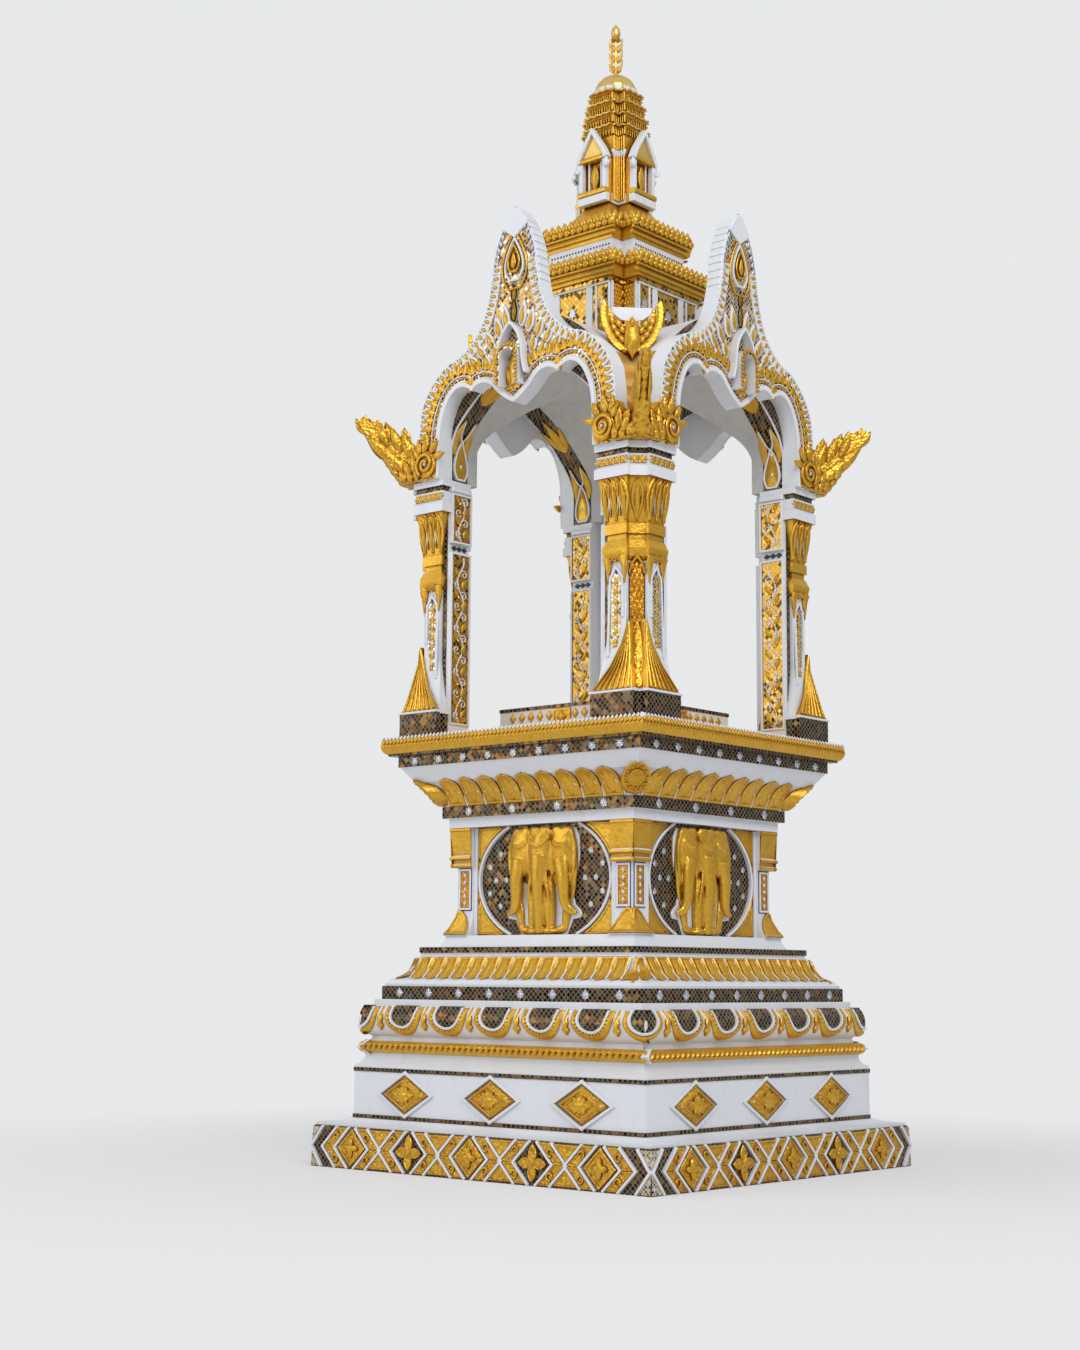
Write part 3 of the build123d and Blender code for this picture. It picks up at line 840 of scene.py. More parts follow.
def rays(mesh: Mesh, tilts: Iterable[float]) -> list[Mesh]:
    """Copies of a motif turned about its foot."""
    return [moved(mesh, tilt=tilt) for tilt in tilts]


def ring(mesh: Mesh, radius: float, angles: Iterable[float], lean: float) -> list[Mesh]:
    """Copies of a motif round a circle, at angles in radians, with an extra tilt in degrees."""
    return [moved(mesh, radius * math.cos(a), radius * math.sin(a), math.degrees(a) + lean) for a in angles]


def twins(mesh: Mesh, across: float, up: float, tilt: float) -> list[Mesh]:
    """Two copies of a motif that lean outwards on both sides of the middle."""
    return [moved(mesh, side * across, up, -side * tilt) for side in (1, -1)]


def mesh_arrays(source: Mesh) -> tuple[Array, Array, Array]:
    """Points, loops and polygon starts of a mesh."""
    arrays = []
    for items, name, width, kind in ((source.vertices, "co", 3, np.float64),
                                     (source.loops, "vertex_index", 1, np.int32),
                                     (source.polygons, "loop_start", 1, np.int32)):
        arrays.append(np.empty(len(items) * width, kind))
        items.foreach_get(name, arrays[-1])
    return arrays[0].reshape(-1, 3), arrays[1], arrays[2]


def lay(name: str, finish: Finish, ground: Ground, *work: tuple[Mesh, Sequence[Spot]],
        turns: Sequence[float] = FACES, smooth: float = 40.0, mirrored: bool = False) -> bpy.types.Object:
    """One piece made of motifs repeated over the sides or the corners.

    Args:
        name: the piece's name.
        finish: its finish.
        ground: what the motifs lie on.
        work: motifs with the spots of each.
        turns: which sides or corners, in degrees about the axis.
        smooth: angle in degrees under which edges are shaded smooth.
        mirrored: whether a mirror image across each side's middle is added.

    Returns:
        The piece, riding on the shrine.
    """
    all_points, all_loops, all_starts = [], [], []
    count = loop_count = 0
    for motif, spots in work:
        points, loops, starts = mesh_arrays(motif)
        for spot in spots:
            x, y, z = ground.spread(*spot.place(points).T)
            for turn in turns:
                c, s = math.cos(math.radians(turn)), math.sin(math.radians(turn))
                for side in ((1, -1) if mirrored else (1,)):
                    all_points.append(np.stack([c * side * x - s * y, s * side * x + c * y, z], axis=1) * MM)
                    all_loops.append(loops + count)
                    all_starts.append(starts + loop_count)
                    count += len(points)
                    loop_count += len(loops)
    mesh = bpy.data.meshes.new(name)
    points, loops, starts = (np.concatenate(parts) for parts in (all_points, all_loops, all_starts))
    for items, key, values, size in ((mesh.vertices, "co", points.astype(np.float32).ravel(), count),
                                     (mesh.loops, "vertex_index", loops, loop_count),
                                     (mesh.polygons, "loop_start", starts, len(starts))):
        items.add(size)
        items.foreach_set(key, values)
    mesh.update(calc_edges=True)
    mesh.validate()
    mesh.materials.append(painted(finish))
    clear()
    piece = bpy.data.objects.new(name, mesh)
    bpy.context.scene.collection.objects.link(piece)
    bpy.context.view_layer.objects.active = piece
    piece.select_set(True)
    edit()
    bpy.ops.mesh.normals_make_consistent(inside=False)
    done()
    bpy.ops.object.shade_smooth_by_angle(angle=math.radians(smooth))
    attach(piece, "root")
    LOG.info("%s: %d triangles", name, sum(len(p.vertices) - 2 for p in mesh.polygons))
    return piece


@dataclass
class Pedestal:
    """Everything below the platform floor."""

    base: float = 625.0
    block: float = 542.0
    body_wall: float = 318.0
    diamond_pitch: float = 330.0
    swag_pitch: float = 177.0
    petal_pitch: float = 53.0
    lotus_pitch: float = 75.0
    fringe_pitch: float = 15.0
    cornice: Surface = field(default_factory=lambda: moulded(
        (374, 506), (385, 521), (397, 530), (410, 534.5), (425, 535), (440, 531), (452, 524), (463, 514)))
    lower_flare: Surface = field(default_factory=lambda: moulded(
        (533, 472), (539, 471), (548, 456), (560, 442), (575, 430), (590, 423), (603, 418), (611, 410)))
    upper_flare: Surface = field(default_factory=lambda: moulded(
        (1050, 366), (1066, 373), (1084, 383), (1100, 396), (1112, 409), (1123, 425), (1168, 458)))

    def dress(self) -> None:
        """Makes all the pieces of the pedestal, from the ground up."""
        for work in (self.base_band, self.block_work, self.rope, self.swags, self.bands, self.lower_lotus, self.body,
                     self.pilasters, self.elephants, self.upper_lotus, self.edge, self.dais):
            work()

    def base_band(self) -> None:
        """Gold rhombs, flowers and chevrons between white ribs."""
        ground, middle = Face(moulded((0, 628), (118, 622))), 59.0
        rhombus = slab(rhomb(112, 108), 7, 2, 5, 2)
        bloom = joined(slab(flower(28, 0.55), 12, 3, crown=3), ball(8, 8, 16))
        cross = joined(*rays(slab(leaf(30, 50, 0.9, 0.8), 9, 2, 3, 1.5), FACES), ball(11, 11, 13))
        legs = [[(76, 0), (18, 56), (56, 56), (112, 0)], [(76, 0), (112, 0), (56, -56), (18, -56)]]
        chevron = joined(*(slab(leg, 6, 2, 3, 1.5) for leg in legs))
        curl = joined(*(rail(arc((62, v), 10, 10, 0, 300, 9), band(5, 8, 1.5)) for v in (31, -31)))
        rib = joined(*(rail([(u, 57), (u + 57, 0), (u, -57)], band(7, 8, 1)) for u in (12, 62)))
        wedge = slab([(44, 54), (-44, 54), (0, 10)], 6, 2, 3, 1.5)
        rhombs, flowers = row(3, 460, middle), row(2, 460, middle)
        pairs = [Spot(s.across, middle, side) for s in rhombs + flowers for side in (1, -1)]
        gaps = [Spot(s.across, middle, 1, side) for s in row(4, 230, middle) for side in (1, -1)]
        lay("base_band_gold", CHASED, ground, (rhombus, rhombs), (bloom, rhombs), (cross, flowers), (chevron, pairs),
            (curl, pairs), (wedge, gaps))
        lay("base_band_ribs", WHITE, ground, (rib, pairs))
        ends = pair([Spot(self.base, middle)])
        lay("base_corner_ribs", WHITE, ground, (rail([(-44, 57), (0, 0), (-44, -57)], band(7, 8, 1)), ends))
        glass = joined(slab([(-38, 54), (0, 54), (0, 6)], 4, 1), slab([(-38, -56), (0, -6), (0, -56)], 4, 1))
        lay("base_corner_glass", SILVER, ground, (glass, ends))

    def block_work(self) -> None:
        """Mirror strips round the block, and the flowers and white edges of its diamonds, with white beads as painted
        highlights.
        """
        ground, spots = wall(self.block), row(3, self.diamond_pitch, 211)
        lay("block_mirror_strips", AMBER, ground, (level(self.block + 2, 0, 11, 2), stack((144, 278))))
        edge, inner = rail(rhomb(208, 124), band(9, 6, 1), True), rail(rhomb(132, 76), band(5, 13.5, 2), True)
        bloom = joined(slab(flower(24, 0.5), 18, 2, crown=2), ball(6, 6, 22),
                       *rays(slab(leaf(15, 30), 17, 1), DIAGONALS))
        # painted highlights: white beads set where glints show round each diamond's inner rhomb
        glints = [Spot(s.across + u, s.height + v) for s in spots for u, v in ((70, 0), (-70, 0), (0, 40), (0, -40))]
        lay("diamond_edges_and_glints", WHITE, ground, (edge, spots), (ball(4, 4, 15, 6, 4), glints))
        lay("diamond_flowers", GOLD, ground, (inner, spots), (bloom, spots))

    def rope(self) -> None:
        """Gold rope with a white clip at each corner."""
        round_bar = moulded((326, 520), (334, 531), (343, 536), (352, 531), (360, 520))
        lay("rope_strands", GOLD, Face(round_bar), (ball(8, 19, 11, 8, 6), row(47, 22.2, 343, tilt=-38)))
        clip = rail([(0, 322), (0, 343), (0, 364)], band(22, 6, 2))
        lay("rope_clips", WHITE, Folded(round_bar, round_bar), (clip, [Spot(536)]))

    def swags(self) -> None:
        """Gold swags with mirror inside them, and pendants between."""
        bow, inner = ([(-reach, 461)] + arc((0, 442), reach, drop, 180, 360, count) + [(reach, 461)]
                      for reach, drop, count in ((64, 56, 17), (50, 41, 13)))
        glass = []
        for z in np.arange(406, 463, 4.0):
            reach = 47 * math.sqrt(max(1 - (max(442 - z, 0) / 38) ** 2, 0))
            glass.append(rail([(k * reach / 3, z) for k in range(-3, 4)], band(4.2, 2.5)))
        bud = [(0, 392), *closed([(13, 406), (6, 416), (10, 426), (4, 440)])]
        pendant = joined(slab(bud, 10, 2, crown=2), slab(box(10, 438, 462), 8, 2, crown=1))
        stem = slab(closed([(-16, 463), (-5, 438)]), 6, 1.5)
        middles, between = row(5, self.swag_pitch, 0), row(6, self.swag_pitch, 0)
        frills = [Spot(s.across + m.across, s.height, tilt=s.tilt) for s in along(bow, 13, 10, 10) for m in middles]
        ground, fold = Face(self.cornice), Folded(self.cornice, flat(533))
        for name, finish, motif, more in (
                ("swags", GOLD, rail(bow, band(17, 5, 4)), [(pendant, between), (slab(leaf(11, 13), 10, 1.5), frills)]),
                ("swag_lines", WHITE, rail(inner, band(7, 9, 1)), [(stem, between)]),
                ("swag_mirrors", AMBER, joined(*glass), [])):
            lay(name, finish, ground, (motif, middles), *more)
            lay("corner_" + name, finish, fold, (motif, [Spot(533)]))

    def bands(self) -> None:
        """Silver flowers on the mirror bands, and the thin strips above and below the body."""
        bloom = joined(slab(flower(15, 0.6), 3.5, 1, crown=1.5), *rays(slab(leaf(7, 14), 3, 0.8), DIAGONALS))
        for name, finish, half, motif, spots in (
                ("lower_band_flowers", PEARL, 488, bloom, row(8, 118, 500)),
                ("body_foot_strip", AMBER, 410, level(411, 625, 16, 1.5), ONCE),
                ("lower_mirror_strip", AMBER, 366, level(367, 1033, 34, 1.5), ONCE),
                ("lower_strip_flowers", PEARL, 367, bloom, row(4, 172, 1033)),
                ("upper_band_flowers", PEARL, 462, bloom, row(9, 98, 1184.5))):
            lay(name, finish, wall(half), (motif, spots))

    def lower_lotus(self) -> None:
        """Inverted lotus petals between white joints, with a broad petal at each corner."""
        ground, spots = Face(self.lower_flare), row(15, self.petal_pitch, 543)
        body = slab(closed([(-24, 62), (-24.5, 16), (-21, 6), (-13, 1)], (0, -4)), 5, 2, 3.5, 1.5)
        vein = slab(closed([(-11, 56), (-12, 18)], (0, 5)), 7, 1.5, crown=2.5)
        wide = slab(closed([(-34, 62), (-30, 30), (-52, 8), (-40, -2), (-22, 2)], (0, -8)), 6, 2, 4, 1.5)
        lay("lower_lotus_petals", GOLD, ground, (body, spots), (vein, spots))
        lay("lower_corner_petals", GOLD, Folded(self.lower_flare, self.lower_flare), (wide, [Spot(446, 543)]))
        joint = rail([(0, 0), (0, 30), (0, 60)], band(4.5, 3, 1))
        lay("lower_petal_joints", WHITE, ground, (joint, row(16, self.petal_pitch, 543)))

    def body(self) -> None:
        """Gold spandrels round the oval mosaic, with white rims."""
        ground, half, low, high, middle = wall(self.body_wall), 256.0, 670.0, 985.0, 829.0
        wide, tall = 250.0, 184.0
        top, foot = (math.degrees(math.asin(rise / tall)) for rise in (high - middle, middle - low))
        upper = [(half, high)] + arc((0, middle), wide + 8, tall + 6, top, 12, 9) + [(half, middle + 36)]
        lower = [(half, middle - 36)] + arc((0, middle), wide + 8, tall + 6, -12, -foot, 9) + [(half, low)]
        spandrels = joined(slab(upper, 9, 3, 5, 2), slab(lower, 9, 3, 5, 2))
        oval = rail(arc((0, middle), wide, tall, -foot, top, 20), band(8, 10, 2))
        bloom = joined(slab(flower(10, 0.6), 2.5, 0.8, crown=1), *rays(slab(leaf(5, 10), 2, 0.5), DIAGONALS))
        blooms = [Spot(u, z) for u, z in ((190, 829), (172, 905), (172, 753), (214, 868), (214, 790), (150, 829))]
        lay("body_spandrels", GOLD, ground, (spandrels, BOTH))
        lay("oval_rims", WHITE, ground, (oval, BOTH), (upright(half + 7, low - 4, high, 14, 12, 1), BOTH))
        lay("oval_flowers", PEARL, ground, (bloom, pair(blooms)))

    def pilasters(self) -> None:
        """Inlaid panels, gold feet and ringed gold capitals of the corner pilasters."""
        ground, spots = wall(332), pair([Spot(301)])
        blooms = joined(*(moved(slab(flower(7, 0.5), 4.5, 1, crown=1.5), up=z) for z in np.linspace(764, 846, 5)))
        lay("pilaster_edges", BLUE, ground, (slab(box(52, 741, 868), 2, 1), spots))
        lay("pilaster_borders", WHITE, ground, (rail(box(42, 747, 862), band(6, 4, 1), True), spots), (blooms, spots))
        lay("pilaster_inlays", CARVED, ground, (slab(box(32, 751, 858), 2.6), spots))
        foot = slab([(-30, 672), (62, 672), (50, 690), (36, 722), (31, 740), (14, 744), (-4, 728), (-20, 700)],
                    6, 2, 5, 2)
        flare = moulded((668, 364), (680, 354), (698, 343), (720, 334), (738, 332), (745, 332))
        lay("pilaster_feet", GOLD, Face(flare), (foot, spots))
        flutes = joined(*(slab(box(8, 910, 972, k * 12.5), 3.5, 1.5) for k in range(-2, 4)))
        lay("pilaster_flutes", GOLD, wall(341), (flutes, spots))
        wrap = joined(*(rail([(-34, z), (49, z)], band(t, 1.5, 1.5)) for z, t in ((874, 10), (896, 10), (980, 9))),
                      slab(box(82, 869, 987, 8), 1))
        capital = moulded((869, 342), (873, 346), (881, 346), (883, 340), (889, 341), (893, 350), (901, 350),
                          (909, 342), (975, 342), (976, 350), (987, 350))
        lay("pilaster_capitals", GOLD, Face(capital), (wrap, spots))

    def elephants(self) -> None:
        """Three-headed elephant on each face, with a white outline."""
        ground, spots = wall(self.body_wall), [Spot(0, 668)]
        reliefs = lay("elephants", GOLD, ground, (Elephant().carve(), spots), smooth=60)
        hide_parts("elephant_reliefs")
        side = [(86, 0), (98, 22), (108, 44), (136, 48), (142, 60), (134, 72), (116, 86), (110, 110), (112, 150),
                (126, 186), (132, 225), (130, 280), (118, 306)]
        lay("elephant_outlines", WHITE, ground, (slab(closed(side), 5, 2), spots))

    def upper_lotus(self) -> None:
        """Upright lotus petals with pale rims, and a round flower on each corner."""
        ground, spots = Face(self.upper_flare), row(9, self.lotus_pitch, 1050)
        rim = rail([(-36, 0), (-35, 26), (0, 58), (35, 26), (36, 0)], band(5, 3, 1))
        side = [(33, 0)] + [(35 * math.cos(a) ** 0.6, 34 + 41 * math.sin(a) ** 0.6) for a in np.linspace(0.02, 1.52, 9)]
        gold = joined(slab(closed(side, (0, 79)), 7, 2, 5, 2, 4),
                      moved(slab(leaf(34, 52, 0.9, 0.6), 9, 2, crown=4), up=10))
        lay("upper_petal_rims", WHITE, ground, (rim, spots))
        lay("upper_lotus_petals", GOLD, ground, (gold, spots))
        edge = arc((0, 0), 40, 40, 0, 345, 24)
        disc = joined(slab([(0.55 * x, 0.55 * y) for x, y in edge], 12, 2, 3, 1.5, 3), ball(8, 8, 17),
                      *ring(ball(5, 8, 14), 30, np.linspace(0, 2 * math.pi, 13)[:-1], -90))
        lay("corner_medallions", GOLD, Face(moulded((1050, 522), (1092, 558), (1134, 606))), (disc, [Spot(0, 1092)]),
            (slab(edge, 46, 3, 4, 2), [Spot(0, 1092, proud=-37)]), turns=DIAGONALS)

    def edge(self) -> None:
        """Gold roll of the platform, gadrooned, with a leaf fringe on its upper edge and white leaves behind the fringe
        as painted highlights.
        """
        ground = Face(moulded((1207, 488), (1216, 495), (1227, 500), (1238, 499), (1247, 496), (1262, 494)))
        lay("platform_gadroons", GOLD, ground, (ball(6.5, 12, 4, 8, 5), row(66, self.fringe_pitch, 1223)))
        tooth = slab(leaf(14, 19, 0.7), 5, 1.5, crown=2)
        lay("platform_fringe", GOLD, ground, (tooth, row(66, self.fringe_pitch, 1234)))
        # painted highlights: white leaves behind the gold teeth stand for the glints on the fringe
        collar = slab(leaf(14, 17, 0.7), 4, 1.5)
        lay("platform_glint_leaves", WHITE, ground, (collar, row(67, self.fringe_pitch, 1242, proud=-3)))

    def dais(self) -> None:
        """Gold lozenges and carved blocks on the dais, with a mirror top edge."""
        ground, lozenge = wall(246), slab(rhomb(24, 30), 4, 1.5, crown=2)
        carved = joined(slab(box(68, -26, 26), 5, 2, 5, 2), slab(flower(18, 0.5), 8, 2, crown=2))
        lay("dais_lozenges", GOLD, ground, (lozenge, pair(row(5, 36, 1316, 122))), (carved, [Spot(0, 1308)]))
        lay("dais_mirror_edge", AMBER, ground, (level(248, 1342, 10, 2), ONCE))


@dataclass
class Elephant:
    """Three-headed elephant in relief, standing on its feet."""

    voxel: float = 3.2
    keep: float = 0.4
    depth: float = 0.62

    def carve(self) -> Mesh:
        """Builds the body from rounded masses and trunks, fused into one skin."""
        clear()
        masses = [(0, 222, 4, 122, 92, 22, 0), (0, 240, 34, 45, 68, 28, 0), (-17, 292, 38, 22, 24, 18, 0),
                  (17, 292, 38, 22, 24, 18, 0), (0, 262, 48, 22, 34, 16, 0)]
        paired = [(74, 238, 26, 44, 70, 27, -3), (60, 290, 28, 22, 24, 16, 0), (92, 286, 22, 24, 26, 16, 0),
                  (107, 222, 12, 22, 82, 20, 3), (42, 224, 30, 13, 60, 18, 0), (24, 200, 42, 13, 22, 13, 0),
                  (54, 198, 32, 11, 22, 12, 0), (92, 196, 26, 12, 24, 12, 0), (30, 90, 22, 19, 104, 26, 2),
                  (100, 150, 8, 22, 70, 14, -6), (30, 10, 26, 24, 13, 26, 0), (66, 14, 12, 28, 12, 16, 12),
                  (88, 64, 10, 15, 56, 16, -8), (17, 230, 56, 7, 5, 6, 0), (64, 228, 46, 6, 5, 5, 0),
                  (88, 228, 42, 6, 5, 5, 0), (17, 246, 50, 15, 5, 9, 12), (76, 246, 42, 22, 5, 10, 0)]
        limbs = [([(78, 216, 40), (90, 168, 44), (90, 124, 42), (92, 92, 38), (106, 66, 32), (132, 62, 24)],
                  [26, 23, 19, 17, 13, 7]),
                 ([(22, 190, 50), (30, 150, 54), (38, 116, 50), (40, 86, 42)], [8, 7, 6, 3]),
                 ([(52, 268, 46), (64, 256, 56), (78, 252, 58), (94, 258, 50), (104, 270, 38)], [5] * 5),
                 ([(108, 290, 26), (124, 256, 26), (126, 214, 28), (118, 172, 28), (104, 146, 28)], [5] * 5),
                 ([(0, 254, 66), (16, 258, 64), (30, 268, 58), (40, 282, 48)], [5] * 4)]
        middle = [(0, 226, 52), (0, 170, 58), (0, 110, 52), (0, 60, 46), (0, 22, 42), (0, 4, 40)]
        masses += [(side * x, *sizes, side * tilt) for side in (-1, 1) for x, *sizes, tilt in paired]
        bodies = []
        for x, y, z, a, b, c, tilt in masses:
            bpy.ops.mesh.primitive_uv_sphere_add(segments=20, ring_count=12, radius=1)
            bodies.append(bpy.context.object)
            bodies[-1].data.transform(Matrix.Translation((x, y, z)) @ Matrix.Rotation(math.radians(tilt), 4, "Z")
                                      @ Matrix.Diagonal((a, b, c, 1)))
        bodies.append(self.limb(middle, [27, 22, 19, 17, 15, 14]))
        bodies += [self.limb([(side * x, y, z) for x, y, z in path], radii) for side in (-1, 1)
                   for path, radii in limbs]
        clear()
        for body in bodies:
            body.select_set(True)
        bpy.context.view_layer.objects.active = bodies[0]
        bpy.ops.object.join()
        body = bpy.context.object
        remesh = body.modifiers.new("skin", "REMESH")
        remesh.mode, remesh.voxel_size = "VOXEL", self.voxel
        soften = body.modifiers.new("soften", "SMOOTH")
        soften.factor, soften.iterations = 0.5, 2
        body.modifiers.new("thin", "DECIMATE").ratio = self.keep
        for modifier in ("skin", "soften", "thin"):
            bpy.ops.object.modifier_apply(modifier=modifier)
        for vertex in body.data.vertices:
            vertex.co.z = max(vertex.co.z, -1.0) * self.depth
            vertex.co.y = min(max(vertex.co.y, 0.0), 308.0)
        return lift_off(body)

    @staticmethod
    def limb(path: list[tuple[float, float, float]], radii: list[float]) -> bpy.types.Object:
        """Tapered round limb along a path.

        Args:
            path: its middle line.
            radii: its radius at each point.

        Returns:
            The limb, closed at both ends.
        """
        clear()
        bpy.ops.curve.primitive_nurbs_path_add(radius=1)
        curve = bpy.context.object.data
        curve.splines.clear()
        spline = curve.splines.new("NURBS")
        spline.points.add(len(path) - 1)
        for point, place, radius in zip(spline.points, path, radii):
            point.co, point.radius = (*place, 1), radius
        spline.order_u, spline.use_endpoint_u = 3, True
        curve.bevel_depth, curve.bevel_resolution = 1, 3
        curve.use_fill_caps, curve.resolution_u = True, 5
        bpy.ops.object.convert(target="MESH")
        return bpy.context.object


@dataclass
class Columns:
    """Corner columns and the piers behind them."""

    centre: float = 356.0
    middle: float = 378.0
    corner: float = 350.0
    profile: tuple[Point, ...] = (
        (1250, 80), (1320, 80), (1321, 83), (1330, 83), (1331, 78), (1427, 63), (1485, 55), (1700, 55),
        (1712, 63.4), (1735, 67), (1759, 58.6), (1777, 55), (1778, 61), (1805, 61), (1807, 57), (1875, 62.6),
        (1935, 74), (1937, 83), (1965, 83), (1966, 78), (2000, 78), (2001, 74), (2015, 74), (2016, 83), (2035, 83))
    flared: tuple[Point, ...] = ((1250, 97), (1331, 97), (1332, 92), (1427, 67), (1485, 55), (1700, 55))

    def sides(self, profile: Sequence[Point]) -> tuple[Face, Face]:
        """Outer faces and corner faces of the columns along a profile."""
        return (Face(moulded(*profile, add=self.middle)),
                Face(moulded(*profile, add=self.corner * ROOT, times=ROOT)))

    def dress(self) -> None:
        """Makes all the pieces of the columns and piers, from the floor up."""
        for work in (self.feet, self.shafts, self.heads, self.jambs):
            work()

    def feet(self) -> None:
        """Gold fans of ridges that rise to a point beside the corner face."""
        face, chamfer = self.sides(self.flared)
        sunk, deep = pair([Spot(self.centre, proud=-14)]), [Spot(proud=-20)]
        fan = slab([(-56, 1333), (86, 1333), (78, 1360), (69, 1395), (58, 1440), (49, 1485), (49, 1532), (41, 1505),
                    (29, 1465), (11, 1420), (-13, 1380)], 17, 1)
        ridges = joined(*(rail([(-48 + 20 * k, 1337), (-2 + 10.5 * k, 1400 + 3 * k), (26 + 3.9 * k, 1462 + 3 * k),
                                (46, 1524)], band(8, 3, 5)) for k in range(7)))
        lay("column_fans", GOLD, face, (fan, sunk), (ridges, pair([Spot(self.centre)])))
        sprig = slab(leaf(16, 40), 29, 2, crown=2)
        front = joined(
            slab([(-21, 1333), (21, 1333), (21, 1490), (0, 1536), (-21, 1490)], 24, 1),
            *(moved(slab(leaf(w, h), out, 2, crown=2), up=z)
              for w, h, z, out in ((40, 90, 1336, 28), (30, 80, 1390, 31), (22, 70, 1450, 31))),
            *(twin for x, z, t in ((12, 1350, 30), (12, 1400, 24), (9, 1450, 20)) for twin in twins(sprig, x, z, t)))
        lay("column_foot_leaves", CHASED, chamfer, (front, deep), turns=DIAGONALS)
        lay("column_plinth_glass", AMBER, face, (slab(box(152, 1262, 1326, 15), 14), sunk))
        lay("column_plinth_corners", AMBER, chamfer, (slab(box(40, 1262, 1326), 20), deep), turns=DIAGONALS)
        lay("column_foot_ledges", WHITE, face, (rail([(-62, 1328), (92, 1328)], band(8, 18, 1)), sunk))
        lay("column_foot_ends", WHITE, chamfer, (level(21, 1328, 8, 24, 1), deep), turns=DIAGONALS)

    def shafts(self) -> None:
        """Floral panels in white frames, scaly corner strips with dark strips of painted shadow beside them, and the
        leaves under the lower ring.
        """
        face, chamfer = self.sides(self.profile)
        spots, low, high = pair([Spot(self.centre)]), 1430.0, 1655.0
        ground = slab([(-18, low + 20), (12, low + 60), (15, low + 100), (15, high), (0, high + 14), (-17, high)], 1.5)
        lay("shaft_grounds", SILVER, face, (ground, spots))
        edge = rail([(-24, low), (-22, high), (0, high + 26), (22, high), (22, low + 110)], band(7, 4, 1))
        lay("shaft_frames", WHITE, face, (edge, spots))
        bloom = joined(slab(flower(9, 0.5), 5, 1, crown=2), *rays(slab(leaf(7, 15), 4, 1), (20, -20, 160, 200)))
        blooms, beads = (pair(stack(np.arange(low + rise, high - 10, 28), self.centre - 2)) for rise in (40, 54))
        lay("shaft_flowers", GOLD, face, (bloom, blooms))
        lay("shaft_beads", PEARL, face, (ball(7, 7, 5, 6, 4), beads))
        lay("shaft_diamonds", BLUE, face, (slab(rhomb(13, 26), 4, 1, crown=1), pair([Spot(self.centre, 1674)])))
        drop = slab(closed([(-13, 1712), (-12, 1690), (-6, 1665)], (0, 1636)), 7, 2, crown=2)
        drops = pair([Spot(self.centre - 28), Spot(self.centre + 30)])
        curls = pair([Spot(self.centre, 1704), Spot(self.centre - 14, 1706), Spot(self.centre + 14, 1706)])
        lay("shaft_drops", GOLD, face, (drop, drops), (rail(spiral(8), band(4, 8, 1)), curls))
        scale = slab(leaf(17, 24, 0.8), 5, 1.5, crown=2)
        rows = [Spot(u + 6.5 * (k % 2), 1505 + 17 * k) for k in range(11) for u in ((-13, 0, 13), (-13, 0))[k % 2]]
        hood = rail([(-22, 1664), (-16, 1690), (0, 1710), (16, 1690), (22, 1664)], band(8, 6, 3))
        lay("corner_strips", CARVED, chamfer, (slab(box(39, 1500, 1700), 2), ONCE), (scale, rows), turns=DIAGONALS)
        lay("corner_hoods", GOLD, chamfer, (hood, ONCE), turns=DIAGONALS)
        # painted shadow: thin dark strips along both sides of each scaly corner strip, where its notch faces lie in
        # shade
        lay("corner_shadow_strips", DARK, chamfer, (upright(21, 1496, 1694, 3, 2.4), BOTH), turns=DIAGONALS)

    def heads(self) -> None:
        """Leaf capitals with mirror slits, and the carved bands over them."""
        face, chamfer = self.sides(self.profile)
        tall = joined(slab(leaf(34, 118, 1.25, 0.7, 8), 4, 2, 4, 1.5),
                      slab(leaf(14, 96, 1.2, 0.7), 7, 2, crown=2))
        leaves = [Spot(self.centre + u, 1814) for u in (-33, 0, 33)]
        leaves += [Spot(self.centre + u, 1880, 0.6, 0.46) for u in (-16, 16)]
        lay("capital_leaves", GOLD, face, (tall, pair(leaves)))
        lay("capital_corner_leaves", GOLD, chamfer, (tall, [Spot(0, 1814, 1.15)]), turns=DIAGONALS)
        slits = pair([Spot(self.centre - 17, 1862), Spot(self.centre + 17, 1862)])
        lay("capital_slits", PEARL, face, (slab(rhomb(6, 70), 5, 1), slits))
        stud = joined(slab(flower(11, 0.4), 5, 1, crown=2),
                      *rays(slab(leaf(8, 15), 4, 1), (90, -90, 45, -45, 135, -135)))
        lay("head_flowers", GOLD, face, (stud, pair(row(5, 22, 1983, self.centre))))
        lay("head_beads", PEARL, face, (ball(4, 6, 6, 6, 4), pair(row(6, 22, 1983, self.centre))))
        lay("head_corner_flowers", GOLD, chamfer, (stud, row(2, 22, 1983)), turns=DIAGONALS)

